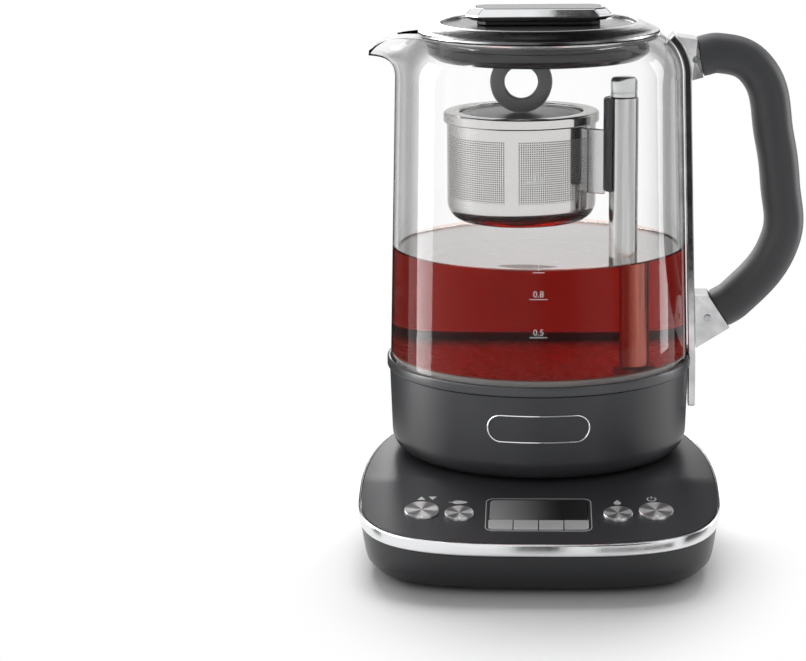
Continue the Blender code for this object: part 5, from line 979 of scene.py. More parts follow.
settle(glass, 50)
soften(glass, 0.0009, 3, 60)
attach(glass, "jug")
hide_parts("glass_body")

# Marks on the glass. Short lines and plain litre figures, screen-printed in white ceramic ink and
# fired on the front of the jug.
MARKS = (("1.7", 0.1809, 0.0105), ("1", 0.1391, 0.0055), ("0.8", 0.1265, 0.0085), ("0.5", 0.1085, 0.0085))
MARK_HEIGHT = 0.0042
INK_THICKNESS = 0.00005


def wrapped(name, flat_faces, height, finish):
    """Flat shapes bent round the front of the glass as a thin layer of ink."""
    shape = bmesh.new()
    for outline in flat_faces:
        rows = []
        for lift in (INK_THICKNESS * 0.2, INK_THICKNESS):
            row = []
            for x, z in outline:
                radius = glass_radius(height + z) + lift
                angle = x / radius - math.pi / 2
                row.append(shape.verts.new((radius * math.cos(angle), radius * math.sin(angle),
                                            height + z)))
            rows.append(row)
        for row in rows:
            shape.faces.new(row)
        for index in range(len(outline)):
            after = (index + 1) % len(outline)
            shape.faces.new((rows[0][index], rows[0][after], rows[1][after], rows[1][index]))
    return make(name, shape, finish)


def figure_faces(text, size):
    """The strokes of a short figure as flat faces, centred on its width."""
    letters = bpy.data.curves.new("figure", "FONT")
    letters.body = text
    letters.size = size
    letters.align_x = "CENTER"
    letters.resolution_u = 3
    guide = bpy.data.objects.new("figure", letters)
    bpy.context.scene.collection.objects.link(guide)
    bpy.context.view_layer.update()
    mesh = bpy.data.meshes.new_from_object(guide.evaluated_get(bpy.context.evaluated_depsgraph_get()))
    faces = [[(mesh.vertices[v].co.x, mesh.vertices[v].co.y) for v in polygon.vertices]
             for polygon in mesh.polygons]
    bpy.data.objects.remove(guide, do_unlink=True)
    return faces


for text, height, length in MARKS:
    steps = 8
    low = [(-length / 2 + length * step / steps, -0.00018) for step in range(steps + 1)]
    bar = low + [(x, 0.00018) for x, z in reversed(low)]
    faces = [bar] + [[(x, z + 0.001) for x, z in outline] for outline in figure_faces(text, MARK_HEIGHT)]
    mark = wrapped("mark_" + text.replace(".", "_"), faces, height, printed_white)
    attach(mark, "jug")

# Tea. A clear red-brown brew that fills the jug to its upper mark, with the raised edge that a
# liquid draws up a glass wall; its surface is paler where the white room shines on it.
TEA_LEVEL = 0.1387
TEA_OVERLAP = 0.0002
TEA_COLOUR = (0.76, 0.2, 0.08, 1.0)
TEA_DENSITY = 54.0
MENISCUS_REACH = 0.0035
MENISCUS_RISE = 0.0016
# Stops of the tea's painted edge shade: its colour darkens towards grazing sight.
TEA_PAINTED_EDGE_STOPS = ((0.0, 1.0), (0.4, 0.98), (0.6, 0.75), (0.75, 0.4), (0.93, 0.2))
brew_finishes = []
for name in ("red_tea", "tea_surface"):
    brew, tree, shader = clear_finish(name, (1.0, 0.86, 0.8), 1.33, TEA_PAINTED_EDGE_STOPS)
    depth = add(tree, "VolumeAbsorption", TEA_COLOUR, TEA_DENSITY)
    tree.links.new(depth.outputs["Volume"], tree.nodes["Material Output"].inputs["Volume"])
    waviness(tree, shader, 30.0, 0.00015)
    brew_finishes.append(brew)
sheen = ranged(tree, add(tree, "LayerWeight").outputs["Facing"], 0.55, 0.85, None, 0.5)
tree.links.new(sheen, shader.inputs["Metallic"])
ramp = next(node for node in tree.nodes if node.bl_idname == "ShaderNodeValToRGB")
for stop in ramp.color_ramp.elements:
    stop.color = (0.95, 0.9, 0.89, 1.0)
shader.inputs["Specular Tint"].default_value = (1.0, 1.0, 1.0, 1.0)
tea_radius = glass_radius(TEA_LEVEL) - GLASS_WALL + TEA_OVERLAP
tea_profile = [(0.0, TEA_LEVEL), (0.055, TEA_LEVEL)]
tea_profile += [(tea_radius - MENISCUS_REACH + MENISCUS_REACH * math.sin(math.radians(step)),
                 TEA_LEVEL + MENISCUS_RISE * (1 - math.cos(math.radians(step))))
                 for step in range(0, 91, 15)]
tea_profile += [(GLASS_INNER + TEA_OVERLAP, GLASS_LOW + 0.0035),
                (SEAL_INNER + TEA_OVERLAP, GLASS_LOW + 0.0035),
                (SEAL_INNER + TEA_OVERLAP, HEATER_TOP - TEA_OVERLAP), (0.0, HEATER_TOP - TEA_OVERLAP)]
tea = turned("brewed_tea", tea_profile, brew_finishes[0], steps=160)
tea.data.materials.append(brew_finishes[1])
for face in tea.data.polygons:
    if face.center.z > TEA_LEVEL - 0.0001 and face.normal.z > 0.9:
        face.material_index = 1
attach(tea, "jug")

# Lift post. A drawn steel tube with a flange at its foot; it stands through the heating floor, and
# its motor, lead screw and magnet carriage stay dry inside.
POST_BORE = 0.0061
POST_LOW = 0.0632
POST_TOP = 0.21475
POST_PLACE = (POST_X, POST_Y, 0.0)
post_profile = [(POST_BORE, POST_TOP), (POST_RADIUS - 0.0002, POST_TOP), (POST_RADIUS, POST_TOP - 0.0002)]
post_profile += [(POST_RADIUS, 0.087)] + [(POST_RADIUS + 0.001 - 0.001 * math.cos(math.radians(step)),
                                          0.087 - 0.001 * math.sin(math.radians(step)))
                                          for step in (30, 60, 90)]
post_profile += [(0.0094, 0.086), (0.0098, 0.0856), (0.0098, 0.0836), (POST_RADIUS, 0.0836),
                 (POST_RADIUS, POST_LOW), (POST_BORE, POST_LOW)]
post = turned("post_tube", post_profile, drawn_steel_painted_streaks, POST_PLACE, 96)
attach(post, "jug")
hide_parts("lift_post")

# Cap of the post. A light satin metal cap, turned with a chamfered top and a fine groove near its
# foot, and glued over the tube's upper end.
satin_light = stock("satin_light_metal", (0.6, 0.605, 0.61), 0.2, 1.0, (2400.0, 0.000003, (0.16, 0.26)),
                    (90.0, (0.57, 0.575, 0.58), (0.64, 0.645, 0.65)))
CAP_LOW = POST_TOP + GAP
cap_profile = [(0.0, CAP_LOW + 0.0092), (0.0049, CAP_LOW + 0.0092), (0.0055, CAP_LOW + 0.0089),
               (0.0062, CAP_LOW + 0.0078), (0.0063, CAP_LOW + 0.0074), (0.0063, CAP_LOW + 0.0028),
               (0.0061, CAP_LOW + 0.0026), (0.0061, CAP_LOW + 0.0021), (0.0063, CAP_LOW + 0.0019),
               (0.0063, CAP_LOW + 0.0003), (0.006, CAP_LOW), (0.0, CAP_LOW)]
cap = turned("post_cap", cap_profile, satin_light, POST_PLACE, 96)
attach(cap, "jug")
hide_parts("lift_post_cap")

# Lead screw and magnet carriage. A rolled steel screw of 12 mm lead turns in the carriage's nut;
# the carriage holds black ring magnets that pull the slider along outside the tube.
LEAD = 0.012
screw_low, screw_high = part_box("lead_screw")
THREAD_RADIUS = (screw_high.x - screw_low.x) / 2
thread_rings = []
thread_steps = 160
for step in range(thread_steps + 1):
    height = screw_low.z + (screw_high.z - screw_low.z) * step / thread_steps
    fade = min(1.0, (height - screw_low.z) / 0.008, (screw_high.z - height) / 0.004)
    ring = []
    for index in range(32):
        angle = math.tau * index / 32
        wave = math.cos(4 * (angle - math.tau * height / LEAD / 4))
        radius = THREAD_RADIUS - 0.00035 * max(fade, 0.0) * (1 - max(-0.5, min(0.5, wave)) * 2) / 2
        ring.append((radius * math.cos(angle), radius * math.sin(angle), height))
    thread_rings.append(ring)
thread = skin("screw_thread", thread_rings, drawn_steel_painted_streaks, POST_PLACE)
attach(thread, "drive_screw")
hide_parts("lead_screw")
dress("magnet_carriage", black_satin)

# Basket. A cup pressed from thin steel with a rolled rim and a flat floor; fields of small etched
# holes run round its side between plain strips, and its floor is etched too.
BASKET_X = -0.0083
BASKET_Y = -0.0031
BASKET_RADIUS = 0.036
BASKET_WALL = 0.0009
BASKET_FLOOR = 0.15295
BASKET_TOP = 0.20075
BASKET_CORNER = 0.009
BASKET_RIM_RADIUS = 0.0376
BASKET_RIM_TOP = 0.20575
BASKET_LEDGE = 0.0273
BASKET_LID_BORE = 0.0298
BASKET_PLACE = (BASKET_X, BASKET_Y, 0.0)
HOLE_PITCH = 0.00105
HOLE_FIELDS = 5
HOLES_LOW = 0.1655
HOLES_HIGH = 0.1955


def from_middle(count):
    """How far a running count is from the middle of its cell."""
    return worked(tree, "ABSOLUTE", worked(tree, "SUBTRACT", worked(tree, "FRACT", count), 0.5))


def within(value, low, high):
    """1 between two limits, 0 outside them."""
    return worked(tree, "MULTIPLY", worked(tree, "GREATER_THAN", value, low),
                  worked(tree, "LESS_THAN", value, high))


basket_steel_painted_shade, tree, shader = finish_of("basket_steel_painted_shade", (0.66, 0.65, 0.64), 0.12, 1.0)
place = own_place(tree)
sweep = sweep_of(tree, place)
level = add(tree, "SeparateXYZ", place).outputs["Z"]
apart = worked(tree, "MAXIMUM", from_middle(worked(tree, "MULTIPLY", sweep, BASKET_RADIUS / HOLE_PITCH)),
               from_middle(worked(tree, "MULTIPLY", level, 1 / HOLE_PITCH)))
hole = ranged(tree, apart, 0.22, 0.3, 1.0, 0.0, interpolation_type="SMOOTHSTEP")
field_count = worked(tree, "ADD", worked(tree, "MULTIPLY", sweep, HOLE_FIELDS / math.tau), 0.345)
in_field = within(worked(tree, "FRACT", field_count), 0.07, 0.93)
in_field = worked(tree, "MULTIPLY", in_field, within(level, HOLES_LOW, HOLES_HIGH))
# Each hole is drawn as a dark dot with a small dent: its dark is painted shade for the inside seen through
# it.
holes_painted_shade = worked(tree, "MULTIPLY", in_field, hole)
# The steel is painted darker towards grazing sight, a painted shade along its outline.
painted_edge_shade = ranged(tree, add(tree, "LayerWeight").outputs["Facing"], 0.3, 0.75, 0.0, 0.9)
steel_tone_painted_edges = between(tree, painted_edge_shade, (0.66, 0.65, 0.64), (0.12, 0.11, 0.1))
tree.links.new(between(tree, holes_painted_shade, steel_tone_painted_edges, (0.03, 0.028, 0.026)), shader.inputs["Base Color"])
relief(tree, shader, holes_painted_shade, 0.6, 0.0002, invert=True)

floor_corner = (BASKET_RADIUS - BASKET_CORNER, BASKET_FLOOR + BASKET_CORNER)
basket_profile = [(0.0, BASKET_FLOOR)] + arc(floor_corner, BASKET_CORNER, -90, 0, 12)
basket_profile += [(BASKET_RADIUS, BASKET_TOP)]
basket_profile += [(BASKET_RIM_RADIUS - 0.0004, BASKET_TOP), (BASKET_RIM_RADIUS, BASKET_TOP + 0.0006)]
basket_profile += arc((BASKET_RIM_RADIUS - 0.0014, BASKET_RIM_TOP - 0.0014), 0.0014, 0, 90, 8)
basket_profile += arc((BASKET_LID_BORE + 0.0008, BASKET_RIM_TOP - 0.0008), 0.0008, 90, 180, 5)
basket_profile += [(BASKET_LID_BORE, BASKET_TOP + 0.0017), (BASKET_LEDGE, BASKET_TOP + 0.0017),
                   (BASKET_LEDGE, BASKET_TOP), (BASKET_RADIUS - BASKET_WALL, BASKET_TOP)]
basket_profile += arc(floor_corner, BASKET_CORNER - BASKET_WALL, 0, -90, 12)
basket_profile += [(0.0, BASKET_FLOOR + BASKET_WALL)]
basket = turned("basket_cup_pressed", basket_profile, basket_steel_painted_shade, BASKET_PLACE, 160)
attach(basket, "basket")
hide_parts("basket_cup")

# Web and slider. A light satin web, riveted to the cup, ties it to the black slider that half
# wraps the post and holds the outer magnets.
WEB_LOW = 0.16795
WEB_HIGH = 0.19895
WEB_THICKNESS = 0.0022
SLIDER_OUTER = 0.0095
SLIDER_INNER = 0.0071
SLIDER_LOW = 0.17035
post_vector = Vector((POST_X - BASKET_X, POST_Y - BASKET_Y))
web_turn = math.atan2(post_vector.y, post_vector.x)
web_half = WEB_THICKNESS / 2
web_reach = post_vector.length - SLIDER_OUTER - GAP
web_section = [(-web_half, WEB_LOW + 0.0004), (-web_half + 0.0004, WEB_LOW), (web_half - 0.0004, WEB_LOW),
               (web_half, WEB_LOW + 0.0004), (web_half, WEB_HIGH - 0.0004), (web_half - 0.0004, WEB_HIGH),
               (-web_half + 0.0004, WEB_HIGH), (-web_half, WEB_HIGH - 0.0004)]
web = skin("web_bar", [[(x, y, z) for y, z in web_section] for x in (BASKET_RADIUS + GAP, web_reach)],
           satin_light, BASKET_PLACE)
web.rotation_euler.z = web_turn
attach(web, "basket")
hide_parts("basket_web")
facing_turn = web_turn + math.pi
slider_rings = []
slider_section = [(SLIDER_INNER, SLIDER_LOW + 0.0004), (SLIDER_INNER + 0.0004, SLIDER_LOW),
                  (SLIDER_OUTER - 0.0007, SLIDER_LOW), (SLIDER_OUTER, SLIDER_LOW + 0.0007),
                  (SLIDER_OUTER, POST_TOP - 0.0007), (SLIDER_OUTER - 0.0007, POST_TOP),
                  (SLIDER_INNER + 0.0004, POST_TOP), (SLIDER_INNER, POST_TOP - 0.0004)]
SLIDER_SWEEP = math.radians(66)
for step in range(49):
    angle = facing_turn - SLIDER_SWEEP + 2 * SLIDER_SWEEP * step / 48
    slider_rings.append([(radius * math.cos(angle), radius * math.sin(angle), height)
                         for radius, height in slider_section])
slider = skin("slider_shell", slider_rings, black_satin, POST_PLACE)
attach(slider, "basket")
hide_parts("basket_slider")

# Lid of the basket. A dark moulded disc that lies in the rolled rim, lifted by an upright ring
# that is moulded in a lighter grey and plugged into it.
BASKET_LID_RADIUS = 0.0295
BASKET_LID_LOW = 0.20275
BASKET_LID_TOP = 0.20455
basket_lid_profile = [(0.0, BASKET_LID_TOP), (BASKET_LID_RADIUS - 0.005, BASKET_LID_TOP),
                      (BASKET_LID_RADIUS - 0.0046, BASKET_LID_TOP - 0.0003),
                      (BASKET_LID_RADIUS - 0.0038, BASKET_LID_TOP - 0.0003),
                      (BASKET_LID_RADIUS - 0.0034, BASKET_LID_TOP),
                      (BASKET_LID_RADIUS - 0.0005, BASKET_LID_TOP),
                      (BASKET_LID_RADIUS, BASKET_LID_TOP - 0.0005),
                      (BASKET_LID_RADIUS, BASKET_LID_LOW + 0.0003),
                      (BASKET_LID_RADIUS - 0.0003, BASKET_LID_LOW), (0.0, BASKET_LID_LOW)]
basket_lid = turned("basket_lid_disc", basket_lid_profile, black_satin, BASKET_PLACE, 128)
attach(basket_lid, "basket_cover")
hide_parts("basket_lid")
RING_HEIGHT = 0.21955
RING_RADIUS = 0.015
RING_HOLE = 0.008
RING_THICKNESS = 0.0044
ring_grey = stock("ring_grey", (0.16, 0.16, 0.165), 0.36, 0.0, (2200.0, 0.00001, (0.3, 0.42)),
                  (60.0, (0.145, 0.145, 0.15), (0.18, 0.18, 0.185)))
ring_half = RING_THICKNESS / 2
ring_profile = [(RING_HOLE, -ring_half + 0.0009), (RING_HOLE + 0.0009, -ring_half),
                (RING_RADIUS - 0.0011, -ring_half), (RING_RADIUS - 0.0003, -ring_half + 0.0003),
                (RING_RADIUS, -ring_half + 0.0011), (RING_RADIUS, ring_half - 0.0011),
                (RING_RADIUS - 0.0003, ring_half - 0.0003), (RING_RADIUS - 0.0011, ring_half),
                (RING_HOLE + 0.0009, ring_half), (RING_HOLE, ring_half - 0.0009)]
lifting_ring = turned("lifting_ring", ring_profile, ring_grey, (BASKET_X, BASKET_Y, RING_HEIGHT), 128)
lifting_ring.rotation_euler.x = math.radians(90)
below = rounded_box(-0.03, 0.03, -0.03, 0.03, (0.0,) * 4)
cut(lifting_ring, skin("below", [[(x, y, z) for x, y in below] for z in (-0.04, BASKET_LID_TOP + GAP)],
                       None, BASKET_PLACE))
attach(lifting_ring, "basket_cover")
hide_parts("basket_lid_ring")

# Strap of the handle. A chromed steel strip that lies up the side of the glass, over its shoulder
# and down into the housing; both brackets hold on to it.
# Its colour drifts in broad patches between near black and bright: painted reflections of the room in the
# chrome.
pressed_chrome_painted_reflections = stock("pressed_chrome_painted_reflections", (0.8, 0.8, 0.81), 0.1, 1.0, (300.0, 0.000002, (0.08, 0.14)),
                       (60.0, (0.16, 0.16, 0.165), (0.9, 0.9, 0.91)))
strap = strap_bar("strap_strip", GAP, GAP + STRAP_THICKNESS, STRAP_WIDTH, pressed_chrome_painted_reflections)
soften(strap, 0.0005, 3, 40)
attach(strap, "jug")
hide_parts("handle_strap")

# Brackets of the handle. Two die-cast arms, chromed, that grow out of the strap and hold the grip;
# a small pin goes through each from the side.
for node in ("upper_bracket", "lower_bracket"):
    piece = dress(node, pressed_chrome_painted_reflections)
    weld = piece.modifiers.new("weld", "WELD")
    weld.merge_threshold = 0.00002
    soften(piece, 0.0008, 3, 30)
    dress(node + "_pin", bright_zinc)

# Grip. Dark soft-touch plastic over a core, a long bow with a full oval section; both ends run
# into the brackets, where a narrow groove parts them.
GRIP_HIGH = (NECK_RADIUS + 0.0082, SHOULDER_HEIGHT + 0.0088)
GRIP_BOW = 0.04
GRIP_DROP = 0.1235
GRIP_WIDTH = 0.024
GRIP_DEPTH = 0.019
GRIP_SHARES = ((0.0, 1.0), (0.22, 1.012), (0.655, 0.956), (0.905, 0.678), (0.982, 0.5), (1.0, 0.282),
               (0.453, 0.039), (0.268, 0.0))
soft_grip = stock("soft_grip", (0.05, 0.051, 0.055), 0.5, 0.0, (3600.0, 0.00003, (0.44, 0.56)),
                  (40.0, (0.046, 0.047, 0.051), (0.055, 0.056, 0.06)))
soft_grip.node_tree.nodes["Principled BSDF"].inputs["Sheen Weight"].default_value = 0.15
guide_line = bpy.data.curves.new("grip_line", "CURVE")
guide_line.dimensions = "3D"
spline = guide_line.splines.new("BEZIER")
spline.bezier_points.add(len(GRIP_SHARES) - 1)
for point, (out_share, up_share) in zip(spline.bezier_points, GRIP_SHARES):
    point.co = (GRIP_HIGH[0] + GRIP_BOW * out_share, 0.0, GRIP_HIGH[1] - GRIP_DROP * (1 - up_share))
    point.handle_left_type = "AUTO"
    point.handle_right_type = "AUTO"
guide = bpy.data.objects.new("grip_line", guide_line)
bpy.context.scene.collection.objects.link(guide)
bpy.context.view_layer.update()
grip_line = []
for start, end in zip(spline.bezier_points, spline.bezier_points[1:]):
    grip_line += [tuple(point) for point in interpolate_bezier(start.co, start.handle_right,
                                                               end.handle_left, end.co, 13)[:-1]]
grip_line.append(tuple(spline.bezier_points[-1].co))
bpy.data.objects.remove(guide, do_unlink=True)
grip_rings = []
for index, point in enumerate(grip_line):
    before, after = grip_line[max(index - 1, 0)], grip_line[min(index + 1, len(grip_line) - 1)]
    along = (Vector(after) - Vector(before)).normalized()
    outward = Vector((0.0, 1.0, 0.0)).cross(along)
    ring = []
    for step in range(56):
        angle = math.tau * step / 56
        wide = math.copysign(abs(math.cos(angle)) ** 0.8, math.cos(angle)) * GRIP_WIDTH / 2
        deep = math.copysign(abs(math.sin(angle)) ** 0.8, math.sin(angle)) * GRIP_DEPTH / 2
        ring.append(tuple(Vector(point) + Vector((0.0, wide, 0.0)) + outward * deep))
    grip_rings.append(ring)
grip = skin("grip_bow", grip_rings, soft_grip, smooth=50)
soften(grip, 0.0006, 3, 60)
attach(grip, "jug")
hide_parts("handle_grip")

# Ring of the lid. Spun from steel sheet with a bright brushed face that falls towards the middle,
# and snapped over the edge of the skirt below.
LID_RING_RADIUS = 0.0582
LID_RING_INNER = 0.0473
LID_RING_TOP = 0.24815
LID_RING_LOW = 0.24265
brushed_chrome_painted_fan, tree, shader = finish_of("brushed_chrome_painted_fan", (0.7, 0.705, 0.715), 0.2, 1.0)
ring_tangent(tree, shader, 0.6)
grain(tree, shader, 420.0, 0.000003, (0.16, 0.26))
# Its colour is painted bright at the sides and dark at front and back: a painted bow-tie highlight of spun
# metal.
painted_fan = worked(tree, "COSINE", worked(tree, "MULTIPLY", sweep_of(tree, own_place(tree)), 2.0))
painted_fan = ranged(tree, painted_fan, -1.0, interpolation_type="SMOOTHSTEP")
tree.links.new(between(tree, painted_fan, (0.12, 0.12, 0.125), (0.85, 0.855, 0.86)), shader.inputs["Base Color"])
lid_ring_profile = [(LID_RING_INNER, LID_RING_TOP - 0.0002), (LID_RING_INNER + 0.0002, LID_RING_TOP),
                    (LID_RING_INNER + 0.0008, LID_RING_TOP),
                    (LID_RING_INNER + 0.0028, LID_RING_TOP - 0.0004),
                    (LID_RING_INNER + 0.00545, LID_RING_TOP - 0.00176),
                    (LID_RING_INNER + 0.0081, LID_RING_TOP - 0.0028),
                    (LID_RING_RADIUS - 0.0008, LID_RING_LOW + 0.0016)]
lid_ring_profile += arc((LID_RING_RADIUS - 0.0007, LID_RING_LOW + 0.0009), 0.0007, 75, 0, 5)
lid_ring_profile += [(LID_RING_RADIUS, LID_RING_LOW + 0.0003), (LID_RING_RADIUS - 0.0003, LID_RING_LOW),
                     (LID_RING_INNER - 0.0035, LID_RING_LOW),
                     (LID_RING_INNER - 0.0035, LID_RING_LOW + 0.0022),
                     (LID_RING_INNER, LID_RING_LOW + 0.0022)]
lid_ring = turned("lid_ring_spun", lid_ring_profile, brushed_chrome_painted_fan, steps=192, smooth=40)
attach(lid_ring, "lid")
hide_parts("lid_ring")

# Disc and skirt of the lid. Both are moulded in dark glossy plastic; the disc lies sunk in the ring,
# and the hollow skirt reaches down into the mouth with two beads round it.
DISC_LOW = 0.24515
DISC_TOP = 0.24685
PLUG_RADIUS = 0.053
PLUG_HIGH = 0.24235
PLUG_LOW = 0.23055
black_gloss = stock("black_gloss", (0.02, 0.02, 0.022), 0.18, 0.0, (1800.0, 0.000004, (0.15, 0.22)),
                    (40.0, (0.018, 0.018, 0.02), (0.024, 0.024, 0.026)))
disc_profile = [(0.0, DISC_TOP), (0.0445, DISC_TOP), (0.0449, DISC_TOP - 0.0003),
                (0.0456, DISC_TOP - 0.0003), (0.046, DISC_TOP), (LID_RING_INNER - GAP - 0.0003, DISC_TOP),
                (LID_RING_INNER - GAP, DISC_TOP - 0.0003), (LID_RING_INNER - GAP, DISC_LOW),
                (0.0, DISC_LOW)]
disc = turned("lid_disc_sunk", disc_profile, black_gloss, steps=192)
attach(disc, "lid")
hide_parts("lid_disc")
plug_profile = [(PLUG_RADIUS, PLUG_HIGH), (PLUG_RADIUS, 0.2392), (PLUG_RADIUS - 0.0007, 0.2389),
                (PLUG_RADIUS - 0.0007, 0.2374),
                 (PLUG_RADIUS, 0.2371), (PLUG_RADIUS, PLUG_LOW + 0.0034)]
plug_profile += [(PLUG_RADIUS - 0.0005, PLUG_LOW + 0.0026), (PLUG_RADIUS - 0.0041, PLUG_LOW + 0.0002),
                 (PLUG_RADIUS - 0.0045, PLUG_LOW), (PLUG_RADIUS - 0.0065, PLUG_LOW + 0.001),
                 (PLUG_RADIUS - 0.002, PLUG_LOW + 0.0042), (PLUG_RADIUS - 0.002, PLUG_HIGH)]
skirt = turned("lid_skirt", plug_profile, black_gloss, steps=160)
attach(skirt, "lid")
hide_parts("lid_plug")

# Gasket of the lid. A soft grey silicone ring with a rounded lip, stretched round the skirt just
# inside the mouth of the glass, where it keeps the steam in.
silicone = stock("grey_silicone", (0.12, 0.12, 0.125), 0.5, 0.0, (1500.0, 0.00001, (0.44, 0.58)),
                 (80.0, (0.11, 0.11, 0.115), (0.14, 0.14, 0.145)))
GASKET_INNER = PLUG_RADIUS + GAP
GASKET_TOP = 0.24135
gasket_profile = [(GASKET_INNER, GASKET_TOP), (GASKET_INNER + 0.0022, GASKET_TOP)]
gasket_profile += arc((GASKET_INNER + 0.002, GASKET_TOP - 0.001), 0.001, 70, -70, 10)
gasket_profile += [(GASKET_INNER + 0.0022, GASKET_TOP - 0.002), (GASKET_INNER, GASKET_TOP - 0.002)]
gasket = turned("skirt_gasket", gasket_profile, silicone, steps=160)
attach(gasket, "lid")
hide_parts("lid_gasket")

# Knob of the lid. An eight-sided bar of polished chrome with flat facets stands on a dark neck; a
# thin black plate is let into its top.
KNOB_TOP = 0.25525
KNOB_LOW = 0.24925
KNOB_HALF_LENGTH = 0.035
KNOB_HALF_WIDTH = 0.0135
KNOB_LEVELS = ((0.0, 0.9), (0.3, 1.0), (0.45, 1.0), (0.88, 0.93), (1.0, 0.9))
INLAY_MARGIN = 0.0016
INLAY_DEPTH = 0.0008


def knob_ring(half_length, half_width, height):
    """The knob's long eight-sided plan."""
    corner = half_width * 0.45
    quarter = [(half_length, half_width - corner), (half_length - corner, half_width)]
    outline = quarter + [(-x, y) for x, y in reversed(quarter)]
    outline += [(x, -y) for x, y in reversed(outline)]
    return [(x, y, height) for x, y in outline]


neck = skin("knob_neck_block",
            [knob_ring(0.0295, 0.0095, height) for height in (DISC_TOP + GAP, KNOB_LOW - GAP)], black_satin)
soften(neck, 0.0004, 2, 30)
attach(neck, "lid")
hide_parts("knob_neck")
knob = skin("knob_bar", [knob_ring(KNOB_HALF_LENGTH * size, KNOB_HALF_WIDTH * size,
                                   KNOB_LOW + (KNOB_TOP - KNOB_LOW) * rise) for rise, size in KNOB_LEVELS],
                                   chrome)
inlay_length = KNOB_HALF_LENGTH * 0.9 - INLAY_MARGIN
inlay_width = KNOB_HALF_WIDTH * 0.9 - INLAY_MARGIN
cut(knob, skin("inlay_recess", [knob_ring(inlay_length, inlay_width, height)
                                for height in (KNOB_TOP - INLAY_DEPTH, KNOB_TOP + 0.001)], None))
soften(knob, 0.0004, 3, 12)
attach(knob, "lid")
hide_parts("lid_knob")
inlay = skin("knob_inlay_plate", [knob_ring(inlay_length - GAP, inlay_width - GAP, height)
                                  for height in (KNOB_TOP - INLAY_DEPTH + GAP, KNOB_TOP)], black_gloss)
soften(inlay, 0.00015, 2, 30)
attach(inlay, "lid")
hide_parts("knob_inlay")

# Floor. A pale photo table: it keeps the soft shadow round the base and runs out into pure white,
# which reaches past every edge of the picture.
FLOOR_RADIUS = 9.0
SHADOW_REACH = (0.15, 0.27)
SHADOW_OVAL = (2.0, 1.0, 1.0)


def seen_by_eye(tree):
    """1 for the rays that see the room: straight, in a polished piece or through glass."""
    rays = add(tree, "LightPath").outputs
    seen = worked(tree, "MAXIMUM", rays["Is Camera Ray"], rays["Is Glossy Ray"])
    return worked(tree, "MAXIMUM", seen, rays["Is Transmission Ray"])


floor_shape = bmesh.new()
bmesh.ops.create_circle(floor_shape, cap_ends=True, segments=96, radius=FLOOR_RADIUS)
floor_finish, tree, shader = finish_of("pale_table", (0.86, 0.86, 0.86), 0.9)
shader.inputs["Specular IOR Level"].default_value = 0.0
oval = add(tree, "VectorMath", own_place(tree), SHADOW_OVAL, operation="MULTIPLY").outputs["Vector"]
reach = add(tree, "VectorMath", oval, operation="LENGTH").outputs["Value"]
white_share = worked(tree, "MULTIPLY", ranged(tree, reach, *SHADOW_REACH, interpolation_type="SMOOTHSTEP"),
                     seen_by_eye(tree))
blend = add(tree, "MixShader", white_share, shader.outputs["BSDF"],
            add(tree, "Emission").outputs["Emission"])
tree.links.new(blend.outputs["Shader"], tree.nodes["Material Output"].inputs["Surface"])
table = make("photo_table", floor_shape, floor_finish, (0.0, -0.01, -0.00005))

# Light of the room. The walls are white to the eye and in every reflection, and give the pieces a
# plain grey fill.
world = bpy.data.worlds.new("white_room")
world.use_nodes = True
bpy.context.scene.world = world
tree = world.node_tree
tree.links.new(between(tree, seen_by_eye(tree), (0.38, 0.38, 0.38), (1.0, 1.0, 1.0)),
               tree.nodes["Background"].inputs["Color"])


def lamp(name, spot, target, size, power):
    """A soft rectangular lamp that faces a spot of the maker and isn't itself in the picture."""
    light = bpy.data.lights.new(name, "AREA")
    light.shape = "RECTANGLE"
    light.size, light.size_y = size
    light.energy = power
    holder = bpy.data.objects.new(name, light)
    bpy.context.scene.collection.objects.link(holder)
    holder.location = (AXIS_X + spot[0], AXIS_Y + spot[1], spot[2])
    aim = Vector((AXIS_X + target[0], AXIS_Y + target[1], target[2])) - holder.location
    holder.rotation_euler = aim.to_track_quat("-Z", "Y").to_euler()
    holder.visible_camera = False
    return holder


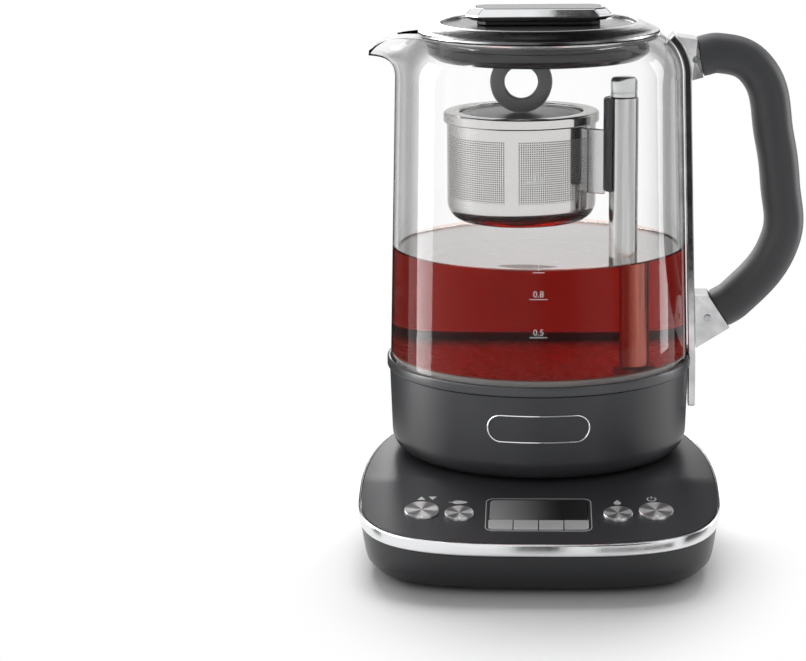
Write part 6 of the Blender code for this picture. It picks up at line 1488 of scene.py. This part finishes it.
lamp("overhead_soft", (0.0, 0.62, 1.0), (0.0, 0.0, 0.1), (1.0, 0.7), 22.0).visible_glossy = False
for name, spot, size, power in (
    ("left_strip", (-0.42, 0.02, 0.2), (0.14, 0.42), 1.7), ("right_strip", (0.46, 0.14, 0.2), (0.1, 0.42),
                                                            0.7),
    ("rear_left_strip", (-0.2, 0.85, 0.55), (0.2, 0.5), 1.6),
    ("front_left_soft", (-0.42, -0.24, 0.28), (0.26, 0.36), 0.8),
):
    strip = lamp(name, spot, (0.0, 0.0, 0.12), size, power)
    strip.visible_transmission = False
    strip.visible_diffuse = False

# Black flags. Cloth screens stand round the table, out of the picture; they draw the dark streaks
# that polished metal and glossy plastic need.
flag_cloth, tree, shader = finish_of("flag_cloth", (0.03, 0.03, 0.03), 1.0)
shader.inputs["Specular IOR Level"].default_value = 0.0
grain(tree, shader, 300.0, 0.0001, (0.95, 1.0))
FLAGS = (
    ("front", 14.5, 27.0, 0.6, 0.8), ("right", 66.0, 20.0, 0.6, 0.5), ("far_right", 132.0, 40.0, 0.21, 0.4),
    ("far_left", -128.0, 48.0, 0.21, 0.4), ("low_front", 0.0, 7.0, 0.2, 0.03),
    ("low_middle", 22.0, 24.0, 0.2, 0.009),
    ("low_left", -58.0, 12.0, 0.2, 0.03), ("low_right", 54.0, 28.0, 0.2, 0.026),
)
flags = []
for name, side_turn, spread_turn, distance, high in FLAGS:
    rings = []
    for level in (0.0, high):
        ring = []
        for reach, turns in ((distance, range(9)), (distance + 0.004, range(8, -1, -1))):
            for step in turns:
                angle = math.radians(-90 + side_turn + spread_turn * (step / 8 - 0.5))
                ring.append((reach * math.cos(angle), reach * math.sin(angle), level))
        rings.append(ring)
    flags.append(skin("flag_" + name, rings, flag_cloth))
HIGH_FLAGS = (("upper", 0.06, 0.42, 0.68, 0.7), ("top", 0.09, 0.02, 0.85, 0.6),
              ("upper_right", 0.42, 0.0, 0.74, 0.4), ("upper_left", -0.4, -0.02, 0.74, 0.3))
for name, x, y, z, width in HIGH_FLAGS:
    flag = slab("flag_" + name, rounded_box(-width / 2, width / 2, -0.17, 0.17, (0.0,) * 4), 0.0, 0.004,
                flag_cloth)
    flag.location = (AXIS_X + x, AXIS_Y + y, z)
    flag.rotation_euler = (Vector((x, y, z)) - Vector((0.0, 0.0, 0.24))).to_track_quat("Z", "Y").to_euler()
    flags.append(flag)
for flag in flags:
    for part_of_light in ("camera", "transmission", "diffuse", "shadow"):
        setattr(flag, "visible_" + part_of_light, False)
